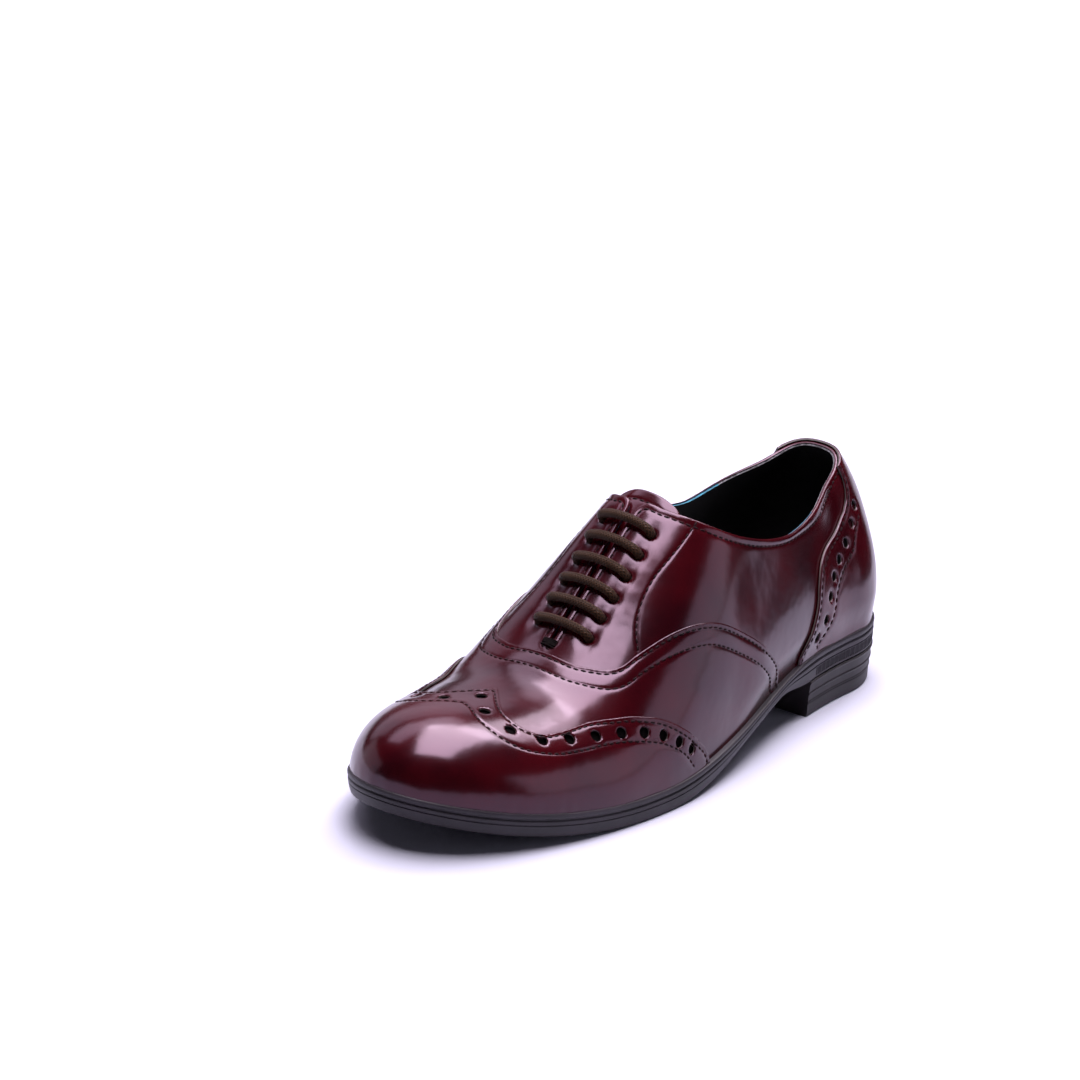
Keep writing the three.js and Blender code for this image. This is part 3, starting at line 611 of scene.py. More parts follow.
FAN_ANGLES = np.linspace(-math.pi / 2, math.pi / 2, 181)
TOE_GIRTHS = girths(float(TOE_FAN_AT), np.cos(FAN_ANGLES), np.sin(FAN_ANGLES))
SIDE_XS = np.arange(0.0, TOE_FAN_AT + 1)
SIDE_GIRTHS = {side: girths(SIDE_XS, 0.0, side) for side in (1.0, -1.0)}
HEEL_TURNS = np.linspace(0, math.pi / 2, 91)
HEEL_GIRTHS = {
    side: girths(0.0, -np.sin(HEEL_TURNS), side * np.cos(HEEL_TURNS)) for side in (1.0, -1.0)
}


def swelling(x, y):
    """The stiffened side stands full over the feather line, and the leather draws in above it. It
    fades round the back of the heel and towards the vamp."""
    turn = np.arctan2(np.maximum(-x, 0), np.abs(y))
    girth = {}
    for side in (1.0, -1.0):
        at_heel = np.interp(turn, HEEL_TURNS, HEEL_GIRTHS[side])
        at_side = np.interp(x, SIDE_XS, SIDE_GIRTHS[side])
        girth[side] = np.where(x < 0, at_heel, at_side)
    gap = np.where(y < 0, girth[-1.0], girth[1.0]) - np.hypot(np.minimum(x, 0), y)
    height = SIDE_SWELL * smooth(gap / SWELL_OVER)
    height = height - SIDE_DRAW_IN * smooth((gap - DRAW_IN_FROM) / DRAW_IN_OVER)
    at_back = smooth(turn / SWELL_FADE_TURN)
    return height * (1 - at_back) * smooth((SWELL_FRONT_AT - x) / SWELL_FADE)


def relief(flat):
    """The unevenness of worn-in leather, shared by all layers: the swelling of the sides, lasting
    puckers round the toe, a slow waviness, and a pull at each lace hole."""
    x, y = flat[:, 0], flat[:, 1]
    wave = 0.10 * np.sin(x / 6.1 + 0.9 * np.sin(y / 7.3))
    wave = swelling(x, y) + wave + 0.07 * np.sin(y / 4.7 + x / 11.0 + 1.3)
    ahead = np.clip((x - TOE_FAN_AT) / 12, 0, 1)
    angle = np.arctan2(y, np.maximum(x - TOE_FAN_AT, 1e-6))
    gap = np.interp(angle, FAN_ANGLES, TOE_GIRTHS) - np.hypot(x - TOE_FAN_AT, y)
    pucker = np.sin(34 * angle + 1.2 * np.sin(9 * angle)) + 0.6 * np.sin(57 * angle + 0.7)
    wave = wave + ahead * 0.06 * pucker * np.exp(-((gap / 3.5) ** 2))
    for centre in LACE_HOLES:
        from_hole = np.linalg.norm(flat - centre, axis=1)
        wave = wave + trough(np.maximum(from_hole - LACE_HOLE_RADIUS, 0), 2.2, 0.35)
    return wave


# Colours and materials.
def colour(code):
    """An sRGB hex value as linear red, green, blue and alpha."""
    parts = [int(code[i : i + 2], 16) / 255 for i in (1, 3, 5)]
    return tuple(c / 12.92 if c <= 0.04045 else ((c + 0.055) / 1.055) ** 2.4 for c in parts) + (1.0,)


def node(tree, kind, inputs=None, **settings):
    """Adds a node. A setting is a property of the node, an input a number, colour or output."""
    made = tree.nodes.new(kind)
    for name, value in settings.items():
        setattr(made, name, value)
    for name, value in (inputs or {}).items():
        if isinstance(value, bpy.types.NodeSocket):
            tree.links.new(value, made.inputs[name])
        else:
            made.inputs[name].default_value = value
    return made


def new_material(name):
    material = bpy.data.materials.new(name)
    material.use_nodes = True
    tree = material.node_tree
    tree.nodes.clear()
    output = node(tree, "ShaderNodeOutputMaterial")
    return material, tree, output


def polished_calf():
    """Corrected calf, dyed oxblood and polished to a gloss. The dye is darker in clouds about
    24 mm wide, and the polish, itself tinted, gives mauve reflections, a little softened, over a
    deep red. Lasting leaves a faint unevenness about 6 mm wide, and the grain is 0.6 mm."""
    material, tree, output = new_material("polished_oxblood_calf")
    place = node(tree, "ShaderNodeTexCoord").outputs["Object"]
    clouds = node(tree, "ShaderNodeTexNoise", {"Vector": place, "Scale": 1 / (24 * MM), "Detail": 3.0})
    tone = node(tree, "ShaderNodeValToRGB", {"Fac": clouds.outputs["Fac"]})
    tone.color_ramp.elements[0].position = 0.3
    tone.color_ramp.elements[0].color = colour("#200105")
    tone.color_ramp.elements[1].position = 0.75
    tone.color_ramp.elements[1].color = colour("#3a0309")
    grain = node(tree, "ShaderNodeTexNoise", {"Vector": place, "Scale": 1 / (0.6 * MM), "Detail": 2.0})
    pull = node(tree, "ShaderNodeTexNoise", {"Vector": place, "Scale": 1 / (6 * MM), "Detail": 1.0})
    fine = node(tree, "ShaderNodeBump", {
        "Height": grain.outputs["Fac"], "Strength": 0.04, "Distance": 0.1 * MM,
    })
    bump = node(tree, "ShaderNodeBump", {
        "Height": pull.outputs["Fac"], "Strength": 0.15, "Distance": 0.6 * MM,
        "Normal": fine.outputs["Normal"],
    })
    shader = node(tree, "ShaderNodeBsdfPrincipled", {
        "Base Color": tone.outputs["Color"],
        "Roughness": 0.19,
        "IOR": 1.5,
        "Specular Tint": colour("#ffdff6"),
        "Normal": bump.outputs["Normal"],
    })
    tree.links.new(shader.outputs["BSDF"], output.inputs["Surface"])
    return material


def plain_material(
    name, base, dark, roughness, grain_mm, depth_mm, strength=0.6, clouds_mm=12.0, **sockets
):
    """A material of two close tones in clouds, with a grain of the given width and depth."""
    material, tree, output = new_material(name)
    place = node(tree, "ShaderNodeTexCoord").outputs["Object"]
    clouds = node(
        tree, "ShaderNodeTexNoise", {"Vector": place, "Scale": 1 / (clouds_mm * MM), "Detail": 4.0},
    )
    tone = node(tree, "ShaderNodeValToRGB", {"Fac": clouds.outputs["Fac"]})
    tone.color_ramp.elements[0].position = 0.35
    tone.color_ramp.elements[0].color = colour(dark)
    tone.color_ramp.elements[1].position = 0.7
    tone.color_ramp.elements[1].color = colour(base)
    grain = node(
        tree, "ShaderNodeTexNoise", {"Vector": place, "Scale": 1 / (grain_mm * MM), "Detail": 3.0},
    )
    bump = node(
        tree, "ShaderNodeBump",
        {"Height": grain.outputs["Fac"], "Strength": strength, "Distance": depth_mm * MM},
    )
    shader = node(tree, "ShaderNodeBsdfPrincipled", {
        "Base Color": tone.outputs["Color"],
        "Roughness": roughness,
        "Normal": bump.outputs["Normal"],
        **{key.replace("_", " "): value for key, value in sockets.items()},
    })
    tree.links.new(shader.outputs["BSDF"], output.inputs["Surface"])
    return material


def waxed_lace():
    """A round waxed cotton lace, braided. Eight strands each way cross at a slant, 1.1 mm apart
    along the lace, and the wax gives a brown shine. The colour darkens from the strands' tops down into
    the gaps between them: painted shade."""
    material, tree, output = new_material("waxed_braided_cotton")
    along = node(tree, "ShaderNodeAttribute", attribute_name="along").outputs["Fac"]
    around = node(tree, "ShaderNodeAttribute", attribute_name="around").outputs["Fac"]
    heights = []
    for strands in (8.0, -8.0):
        turns = node(tree, "ShaderNodeMath", {0: around, 1: strands}, operation="MULTIPLY")
        run = node(
            tree, "ShaderNodeMath", {0: along, 1: 1 / 1.1, 2: turns.outputs[0]}, operation="MULTIPLY_ADD",
        )
        angle = node(tree, "ShaderNodeMath", {0: run.outputs[0], 1: 2 * math.pi}, operation="MULTIPLY")
        wave = node(tree, "ShaderNodeMath", {0: angle.outputs[0]}, operation="SINE")
        heights.append(wave.outputs[0])
    higher = node(tree, "ShaderNodeMath", {0: heights[0], 1: heights[1]}, operation="MAXIMUM")
    # Painted shade: the colour follows the height of the strands and is near black in the gaps between them.
    tone = node(tree, "ShaderNodeValToRGB", {"Fac": higher.outputs[0]})
    tone.color_ramp.elements[0].position = 0.0
    tone.color_ramp.elements[0].color = colour("#0d0705")
    tone.color_ramp.elements[1].position = 1.0
    tone.color_ramp.elements[1].color = colour("#372317")
    bump = node(tree, "ShaderNodeBump", {
        "Height": higher.outputs[0], "Strength": 0.7, "Distance": 0.2 * MM,
    })
    shader = node(tree, "ShaderNodeBsdfPrincipled", {
        "Base Color": tone.outputs["Color"],
        "Roughness": 0.5,
        "Specular IOR Level": 0.4,
        "Specular Tint": colour("#b3947a"),
        "Normal": bump.outputs["Normal"],
    })
    tree.links.new(shader.outputs["BSDF"], output.inputs["Surface"])
    return material


LEATHER = polished_calf()
# A cut edge of dyed leather, inked and rubbed: dull grey brown, darker in clouds about 12 mm wide.
CUT_EDGE = plain_material("inked_leather_edge", "#4a3f3c", "#1d1716", 0.6, 0.5, 0.15)
# The flesh side of calf: brown, fibrous and dull.
FLESH = plain_material("calf_flesh_side", "#2c1d18", "#160d0b", 0.9, 0.4, 0.2)
# Bonded polyester thread: a smooth dark red with little shine.
THREAD = plain_material(
    "bonded_polyester_thread", "#1f060a", "#0d0204", 0.6, 0.3, 0.06, Specular_IOR_Level=0.1,
)
# The same thread in black, for the bar tack.
TACK_THREAD = plain_material(
    "black_polyester_thread", "#130b0b", "#070404", 0.7, 0.3, 0.06, Specular_IOR_Level=0.06,
)
# Pigskin lining dyed black: nearly matt, small pores.
LINING = plain_material("black_pigskin_lining", "#1b191c", "#0b0a0c", 0.7, 0.8, 0.15)
# Backing cloth, black and matt: painted shade, dark so that the perforations read as deep holes.
BACKING = plain_material(
    "black_backing_painted_shade", "#0d090a", "#050303", 1.0, 0.5, 0.2, Specular_IOR_Level=0.05,
)
# The raw edge of a lining, with pale fibres.
RAW_EDGE = plain_material("raw_lining_edge", "#7d7c80", "#2f2e31", 0.95, 0.3, 0.3, clouds_mm=1.2)
# The same edge where the cutter's marking ink is left on it.
INKED_EDGE = plain_material("marked_lining_edge", "#2f7d94", "#1d5366", 0.8, 0.3, 0.2, clouds_mm=3.6)
# Moulded rubber of the sole's edge: dark grey, satin from the mould, with a fine spark texture.
SOLE = plain_material(
    "moulded_rubber_edge", "#272028", "#1d181e", 0.48, 0.35, 0.05, strength=0.4,
    Specular_IOR_Level=0.35,
)
# Moulded rubber of the heel: the same, a little browner.
HEEL = plain_material(
    "moulded_rubber_heel", "#231b20", "#1a1418", 0.52, 0.35, 0.05, strength=0.4,
    Specular_IOR_Level=0.35,
)
LACE = waxed_lace()


# Meshes.
def make_mesh(name, points, faces, materials, face_materials=None):
    mesh = bpy.data.meshes.new(name)
    mesh.from_pydata((np.asarray(points) * MM).tolist(), [], faces)
    for material in materials:
        mesh.materials.append(material)
    if face_materials is not None:
        mesh.polygons.foreach_set("material_index", np.asarray(face_materials, np.int32))
    mesh.polygons.foreach_set("use_smooth", np.ones(len(mesh.polygons), bool))
    mesh.update()
    made = bpy.data.objects.new(name, mesh)
    bpy.context.scene.collection.objects.link(made)
    return made


def finish_piece(made, slot, *stands_for):
    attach(made, "root")
    if stands_for:
        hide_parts(*stands_for)
    return made


def thin_out(points, fixed, least):
    """Points that keep a distance from the fixed ones."""
    tree = KDTree(len(fixed))
    for i, p in enumerate(fixed):
        tree.insert((p[0], p[1], 0.0), i)
    tree.balance()
    return np.array([p for p in points if tree.find((p[0], p[1], 0.0))[2] > least])


def join_loops(loops):
    """The points of closed loops, and the edges that join them."""
    joints, count = [], 0
    for loop in loops:
        ring = np.arange(len(loop)) + count
        joints += list(zip(ring.tolist(), np.roll(ring, -1).tolist()))
        count += len(loop)
    return np.concatenate(loops), joints


def points_beside(fixed, edges, edge_radius, holes, hole_radius, rows):
    """Fine points beside edges, perforations and rows of stitches, one to a cell of 0.3 mm."""
    hole_edge = min(edge_radius, HOLE_EDGE_RADIUS)
    lines = []
    for line in edges:
        for share in (0.3, 0.65, 1.0, 1.6):
            lines += [beside(line, share * edge_radius), beside(line, -share * edge_radius)]
    for hole in holes:
        for out in (0.5 * hole_edge, hole_edge, hole_edge + 0.7, hole_edge + 1.6):
            lines.append(ring_round(hole, hole_radius + out))
    for row in rows:
        lines.append(row)
        for out in (0.55, 1.2, 2.0):
            lines += [beside(row, out), beside(row, -out)]
    if not lines:
        return np.empty((0, 2))
    near = thin_out(np.concatenate(lines), fixed, 0.1)
    _, first = np.unique(np.round(near / 0.3).astype(int), axis=0, return_index=True)
    return near[np.sort(first)]


def staggered_rows(low, high, spacing):
    rows = []
    for k, y in enumerate(np.arange(low[1], high[1], spacing * 0.866)):
        x = np.arange(low[0] + (k % 2) * spacing / 2, high[0], spacing)
        rows.append(np.column_stack([x, np.full_like(x, y)]))
    return np.concatenate(rows)


def within(points, keep, drop):
    """Which points lie inside the keep loops and outside the drop loops."""
    found = np.ones(len(points), bool)
    for loop in keep:
        found &= inside(points, loop)
    for loop in drop:
        found &= ~inside(points, loop)
    return found


def triangles_between(flat, joints):
    """Triangles between points, all turned the same way."""
    corners = [Vector(p) for p in flat.tolist()]
    verts, _, faces, _, _, _ = delaunay_2d_cdt(corners, joints, [], 0, 1e-4, False)
    flat = np.array([tuple(v) for v in verts])
    faces = np.array([f for f in faces if len(f) == 3])
    a, b, c = (flat[faces[:, k]] for k in range(3))
    area = (b[:, 0] - a[:, 0]) * (c[:, 1] - a[:, 1]) - (b[:, 1] - a[:, 1]) * (c[:, 0] - a[:, 0])
    faces[area < 0] = faces[area < 0][:, ::-1]
    return flat, faces[np.abs(area) > 1e-6]


def free_edges(faces):
    """Edges that only one face has."""
    directed = np.concatenate([faces[:, [0, 1]], faces[:, [1, 2]], faces[:, [2, 0]]]).tolist()
    known = set(map(tuple, directed))
    return np.array([(p, q) for p, q in directed if (q, p) not in known])


def cut_leather(
    name, keep, drop, top, bottom, materials, spacing=2.0, holes=(), hole_radius=0.0, edges=(),
    edge_radius=0.0, rows=(), rim=level(1),
):
    """A piece of leather cut on the flat, laid on the last and given its thickness. It lies inside
    the keep loops and outside the drop loops, its edges and holes are rounded, and it sinks a
    little under its rows of stitches. The first material is the grain side's and the last the
    flesh side's. Where there are more, rim gives the number of the cut edge's at each point."""
    hole_edge = min(edge_radius, HOLE_EDGE_RADIUS)

    def top_level(flat):
        height = top(flat) + relief(flat)
        if len(edges):
            height = height + rounded(distance_to(flat, edges), edge_radius)
        for hole in holes:
            from_rim = from_centre(flat, hole) - hole_radius
            height = height + rounded(from_rim, hole_edge) + trough(np.maximum(from_rim, 0), 0.9, 0.12)
        if len(rows):
            height = height + trough(distance_to(flat, rows), GROOVE_WIDTH, GROOVE_DEPTH)
        return height

    fixed, joints = join_loops([*keep, *drop, *[ring_round(hole, hole_radius) for hole in holes]])
    near = points_beside(fixed, edges, edge_radius, holes, hole_radius, rows)
    low = np.maximum(fixed.min(0), FEATHER.min(0))
    high = np.minimum(fixed.max(0), FEATHER.max(0))
    grid = staggered_rows(low, high, spacing)
    grid = thin_out(grid[within(grid, keep, drop)], np.concatenate([fixed, near]), spacing * 0.55)
    flat, faces = triangles_between(np.concatenate([fixed, near, grid]), joints)
    middle = flat[faces].mean(1)
    kept = within(middle, keep, drop)
    for hole in holes:
        kept &= from_centre(middle, hole) > hole_radius * 0.98
    used, faces = np.unique(faces[kept], return_inverse=True)
    flat, faces = flat[used], faces.reshape(-1, 3)

    points, normals = wrap(flat, top_level)
    under, _ = wrap(flat, lambda p: bottom(p) + relief(p))
    count = len(flat)
    free = free_edges(faces)
    rim_faces = np.stack([free[:, 0], free[:, 0] + count, free[:, 1] + count, free[:, 1]], -1)
    flesh_side = len(materials) - 1
    made = make_mesh(
        name,
        np.concatenate([points, under]),
        faces.tolist() + (faces[:, ::-1] + count).tolist() + rim_faces.tolist(),
        materials,
        np.concatenate([
            np.zeros(len(faces)),
            np.full(len(faces), flesh_side),
            np.minimum(rim(flat[free].mean(1)), flesh_side),
        ]),
    )
    exact = np.ones(count, bool)
    if len(edges):
        exact &= distance_to(flat, edges) > edge_radius + 0.4
    for hole in holes:
        exact &= from_centre(flat, hole) > hole_radius + 0.7
    shade_leather(made.data, faces, normals, exact)
    return made


def shade_leather(mesh, top_faces, normals, exact):
    """Gives the grain side the normals of its true surface where they are exact, which is away
    from its edges."""
    mesh.set_sharp_from_angle(angle=math.radians(50))
    of_loops = np.zeros((len(mesh.loops), 3))
    corner = top_faces.ravel()
    of_loops[: len(corner)][exact[corner]] = normals[corner[exact[corner]]]
    mesh.normals_split_custom_set(of_loops.tolist())


QUARTERS = cut_leather(
    "quarters",
    [FEATHER, behind(both_sides(seam(VAMP_SEAM) + (3.0, 0)))],
    [COLLAR],
    level(WALL_TOP),
    level(WALL_TOP - LEATHER_THICK - 0.15),
    [LEATHER],
    holes=punched(LACE_HOLES),
    hole_radius=LACE_HOLE_RADIUS,
    edges=[COLLAR_CLOSED],
    edge_radius=0.8,
    rows=[*FACING_ROWS, COLLAR_ROW],
)
finish_piece(QUARTERS, "leather", "upper")

VAMP_PIECE = cut_leather(
    "vamp",
    [FEATHER, in_front_of(VAMP)],
    [in_front_of(both_sides(seam(WING_SEAM) + (2.0, 0)))],
    level(VAMP_TOP),
    level(VAMP_TOP - 1.0),
    [LEATHER, CUT_EDGE, FLESH],
    edges=[VAMP],
    edge_radius=0.4,
    rows=[VAMP_EDGE_ROW, VAMP_INNER_ROW],
)
finish_piece(VAMP_PIECE, "leather")

CAP = cut_leather(
    "wingtip",
    [FEATHER, in_front_of(WING)],
    [],
    level(CAP_TOP),
    level(CAP_BOTTOM),
    [LEATHER, CUT_EDGE, FLESH],
    holes=punched(WING_HOLES),
    hole_radius=WING_HOLE_RADIUS,
    edges=[WING],
    edge_radius=0.45,
    rows=[WING_EDGE_ROW, WING_INNER_ROW],
)
finish_piece(CAP, "leather", "wingtip_cap")

COUNTER_PIECE = cut_leather(
    "counter",
    [FEATHER, behind(COUNTER)],
    [COLLAR],
    level(COUNTER_TOP),
    level(COUNTER_BOTTOM),
    [LEATHER, CUT_EDGE, FLESH],
    holes=punched(COUNTER_HOLES),
    hole_radius=COUNTER_HOLE_RADIUS,
    edges=[COUNTER, COLLAR_CLOSED],
    edge_radius=0.45,
    rows=[*COUNTER_EDGE_ROWS, *COUNTER_INNER_ROWS],
)
finish_piece(COUNTER_PIECE, "leather", "heel_counter")

# Cloth under the perforations.
CAP_BACKING = cut_leather(
    "wingtip_backing",
    [FEATHER, in_front_of(both_sides(seam(WING_SEAM) + (2.2, 0)))],
    [],
    level(CAP_BOTTOM - 0.55),
    level(CAP_BOTTOM - 0.9),
    [BACKING],
    spacing=5.0,
)
finish_piece(CAP_BACKING, "leather")

COUNTER_BACKING = cut_leather(
    "counter_backing",
    [FEATHER, behind(COUNTER + (-2.2, 0))],
    [COLLAR, behind(COUNTER + (-9.5, 0))],
    level(WALL_TOP + 0.14),
    level(WALL_TOP + 0.04),
    [BACKING],
    spacing=3.0,
)
finish_piece(COUNTER_BACKING, "leather")

LINING_TOP = beside(COLLAR_CLOSED, 0.4)


def lining_edge(flat):
    """The edge is pale, but the cutter's ink is left on it at the front of the inner side and
    low on the outer side."""
    marked = (flat[:, 1] < 0) & (flat[:, 0] > 22)
    marked |= (flat[:, 1] > 0) & (flat[:, 0] > 20) & (flat[:, 0] < 42)
    return np.where(marked, 2, 1)


LINING_PIECE = cut_leather(
    "lining",
    [FEATHER],
    [LINING_TOP],
    level(WALL_TOP - LEATHER_THICK - 0.2),
    level(WALL_BOTTOM - 0.1),
    [LINING, RAW_EDGE, INKED_EDGE, LINING],
    spacing=3.0,
    rim=lining_edge,
)
finish_piece(LINING_PIECE, "insole")


def tongue_outline():
    top_at = TOPLINE_FRONT_AT - TONGUE_SHOW
    foot_at = SLIT_END + 5
    corner = 5
    turn = np.linspace(0, 1, 9)[:, None]
    start = np.array((top_at + corner, TONGUE_HALF_TOP))
    bend = np.array((top_at, TONGUE_HALF_TOP))
    end = np.array((top_at, TONGUE_HALF_TOP - corner))
    curve = start * (1 - turn) ** 2 + 2 * bend * turn * (1 - turn) + end * turn**2
    half = np.concatenate([[(foot_at, TONGUE_HALF_FOOT)], curve])
    line = np.concatenate([half, mirrored(half)[::-1]])
    return spaced(np.concatenate([line, line[:1]]), 1.0)[:-1]


TONGUE_LINE = tongue_outline()
TONGUE_CLOSED = np.concatenate([TONGUE_LINE, TONGUE_LINE[:1]])
TONGUE_ROW_AT = TOPLINE_FRONT_AT - TONGUE_SHOW + 3.6
TONGUE_ROW = np.array([(TONGUE_ROW_AT, y) for y in np.arange(-16, 17, 1.0)])
TONGUE = cut_leather(
    "tongue_leather",
    [TONGUE_LINE],
    [],
    level(TONGUE_TOP),
    level(TONGUE_BOTTOM),
    [LEATHER, LEATHER, LINING],
    edges=[TONGUE_CLOSED],
    edge_radius=0.7,
    rows=[TONGUE_ROW],
)
finish_piece(TONGUE, "leather", "tongue")


# The sole, the heel and the insole are stacks of rings.
def stack_rings(name, rings, materials, bottom_material=0):
    """Rings from top to bottom, closed by rungs between the two sides of a ring. A ring starts
    where its sides meet, or runs from the end of one side to the end of the other."""
    count = len(rings[0])
    points = np.concatenate(rings)
    i = np.arange(count)
    j = (i + 1) % count
    faces = []
    for r in range(len(rings) - 1):
        a, b = r * count + i, r * count + j
        faces += np.stack([a, b, b + count, a + count], -1).tolist()
    rungs = []
    low, high = 0, count - 1
    while high - low > 2:
        rungs.append([low, low + 1, high - 1, high])
        low, high = low + 1, high - 1
    rungs.append([low, low + 1, high] if high - low == 2 else [low, high])
    rungs = [r for r in rungs if len(r) > 2]
    last = (len(rings) - 1) * count
    top = [r[::-1] for r in rungs]
    bottom = [[k + last for k in r] for r in rungs]
    side_count = len(faces)
    faces += top + bottom
    slots = [0] * (side_count + len(top)) + [bottom_material] * len(bottom)
    area = np.sum(points[:count, 0] * points[j, 1] - points[j, 0] * points[:count, 1])
    if area <= 0:
        faces = [f[::-1] for f in faces]
    made = make_mesh(name, points, faces, materials, slots)
    made.data.set_sharp_from_angle(angle=math.radians(42))
    return made


def feet_of(spine_x, dir_x, dir_y):
    """Where ribs meet the feather line."""
    reach = rib_reach(spine_x, dir_x, dir_y)
    return rib_point(spine_x, dir_x, dir_y, reach, np.full(len(reach), math.pi / 2))


def outline(fan_count, side_count):
    """The feather line from the back of the heel by the outer side to the toe and back, with the
    outward direction in plan."""
    turn = np.linspace(0, math.pi / 2, fan_count + 1)[:-1]
    sides = np.linspace(0, TOE_FAN_AT, side_count + 1)
    spine_x = np.concatenate([np.zeros(fan_count), sides, np.full(fan_count, float(TOE_FAN_AT))])
    dir_x = np.concatenate([-np.cos(turn), np.zeros(side_count + 1), np.cos(turn[::-1])])
    dir_y = np.concatenate([np.sin(turn), np.ones(side_count + 1), np.sin(turn[::-1])])
    outer = feet_of(spine_x, dir_x, dir_y)
    inner = feet_of(spine_x[1:-1], dir_x[1:-1], -dir_y[1:-1])[::-1]
    feet = np.concatenate([outer, inner])
    run = np.roll(feet, -1, axis=0) - np.roll(feet, 1, axis=0)
    out = np.stack([-run[:, 1], run[:, 0]], -1)
    return feet, out / np.linalg.norm(out, axis=1)[:, None]


def edge_at(x):
    thinning = (SEAT_EDGE - WAIST_EDGE) * smooth((x - BREAST_AT) / (WAIST_AT - BREAST_AT))
    filling = (BALL_EDGE - WAIST_EDGE) * smooth((x - WAIST_AT) / (OUTER_BALL_AT - WAIST_AT))
    return SEAT_EDGE - thinning + filling


def tuck_at(x):
    waist = smooth((x - BREAST_AT) / (WAIST_AT - BREAST_AT)) * smooth((OUTER_BALL_AT - x) / WAIST_AT)
    return WAIST_TUCK * waist + TOE_TUCK * smooth((x - INNER_BALL_AT) / (LAST_LENGTH - INNER_BALL_AT))


def lip_at(x):
    return HEEL_LIP + (FRONT_LIP - HEEL_LIP) * smooth((x - SEAT_END) / 70)


def sole_bottom(x):
    return np.maximum(feather_height(x) - CLEARANCE - edge_at(x), 0)


def heel_outline(step):
    """The feather line round the heel, from the breast's outer end to its inner end, with the
    outward direction in plan and how far along the line each point lies."""
    straight = int(round(BREAST_AT / step))
    turns = int(round(HEEL_HALF * math.pi / 2 / step))
    sides = np.linspace(BREAST_AT, 0, straight + 1)
    turn = np.linspace(math.pi / 2, 0, turns + 1)[1:]
    spine_x = np.concatenate([sides, np.zeros(turns)])
    dir_x = np.concatenate([np.zeros(straight + 1), -np.cos(turn)])
    dir_y = np.concatenate([np.ones(straight + 1), np.sin(turn)])
    outer = feet_of(spine_x, dir_x, dir_y)
    inner = feet_of(spine_x[:-1], dir_x[:-1], -dir_y[:-1])[::-1]
    feet = np.concatenate([outer, inner])
    run = np.gradient(feet[:, :2], axis=0)
    out = np.stack([run[:, 1], -run[:, 0]], -1)
    out[0, 0] = out[-1, 0] = 0
    out /= np.linalg.norm(out, axis=1)[:, None]
    walked = np.concatenate([[0], np.cumsum(np.linalg.norm(np.diff(feet[:, :2], axis=0), axis=1))])
    return feet, out, walked


# The sole's edge from the lip down: share of its thickness, and millimetres out of the lip line.
SOLE_EDGE = np.array([
    (0.0, -0.7), (0.015, -0.3), (0.05, -0.02), (0.12, 0.12), (0.2, 0.0), (0.235, -0.3),
    (0.25, -0.52), (0.275, -0.52), (0.3, -0.3), (0.33, -0.05), (0.36, 0.0), (0.46, 0.02),
    (0.48, -0.12), (0.5, -0.26), (0.52, -0.08), (0.54, 0.0), (0.58, 0.0), (0.82, -0.04),
    (0.86, -0.08), (0.93, -0.2), (0.97, -0.45), (1.0, -0.8),
])
RIBS_DOWN = (0.54, 0.88)


def sole_outline():
    """The sole's outline from the back of the heel by the outer side to the toe and back again,
    fine round the heel, with the distance of each point from the breast along the heel."""
    feet, out, walked = heel_outline(0.27)
    from_breast = np.minimum(walked, walked[-1] - walked)
    back = len(feet) // 2
    front, front_out = outline(70, 120)
    ahead = front[:, 0] > BREAST_AT + 0.3
    parts = [
        (feet[: back + 1][::-1], out[: back + 1][::-1], from_breast[: back + 1][::-1]),
        (front[ahead], front_out[ahead], np.zeros(ahead.sum())),
        (feet[back + 1 :][::-1], out[back + 1 :][::-1], from_breast[back + 1 :][::-1]),
    ]
    return [np.concatenate(column) for column in zip(*parts)]


def make_outsole():
    feet, out, from_breast = sole_outline()
    x = feet[:, 0]
    panel = smooth((from_breast - RIBS_FROM_BREAST) / 0.6)
    panel = panel * smooth((from_breast.max() - RIBS_FROM_BACK - from_breast) / 0.6)
    valley = 0.5 - 0.5 * np.cos(2 * math.pi * from_breast / RIB_PITCH)
    place = np.linspace(0, len(SOLE_EDGE) - 1, 62)
    rings = []
    for down in np.interp(place, np.arange(len(SOLE_EDGE)), SOLE_EDGE[:, 0]):
        low, high = RIBS_DOWN
        ribbed = float(smooth((down - low) / 0.03) * smooth((high - down) / 0.03))
        grow = lip_at(x) + np.interp(down, *SOLE_EDGE.T) - tuck_at(x) * down**2
        grow = grow - RIB_DEPTH * ribbed * panel * valley
        top = feather_height(x) - CLEARANCE + 0.2
        z = top - (top - sole_bottom(x)) * down
        rings.append(np.column_stack([feet[:, :2] + out * grow[:, None], z]))
    return stack_rings("sole_edge", rings, [SOLE, SOLE], 1)


# The heel block from the sole down: share of its height, and millimetres in from its taper. A
# fine raised line runs round its top edge, and two more below it.
HEEL_SIDE = np.array([
    (0.0, 0.5), (0.02, 0.1), (0.05, -0.16), (0.09, -0.16), (0.13, 0.12), (0.17, 0.16),
    (0.46, 0.16), (0.5, 0.22), (0.54, -0.14), (0.58, -0.14), (0.62, 0.16), (0.66, 0.2),
    (0.9, 0.16), (0.93, -0.08), (0.97, -0.08), (0.985, 0.1), (1.0, 0.3),
])


def make_heel_block():
    feet, out, _ = heel_outline(0.8)
    x = feet[:, 0]
    floor = TOP_LIFT_HEIGHT + CLEARANCE - 0.1
    place = np.linspace(0, len(HEEL_SIDE) - 1, 50)
    rings = []
    for down in np.interp(place, np.arange(len(HEEL_SIDE)), HEEL_SIDE[:, 0]):
        grow = HEEL_LIP - 0.55 * HEEL_TAPER * down - np.interp(down, *HEEL_SIDE.T)
        top = sole_bottom(x) - CLEARANCE + 0.2
        z = top + (floor - top) * down
        rings.append(np.column_stack([feet[:, :2] + out * grow, z]))
    return stack_rings("heel_stack", rings, [HEEL])


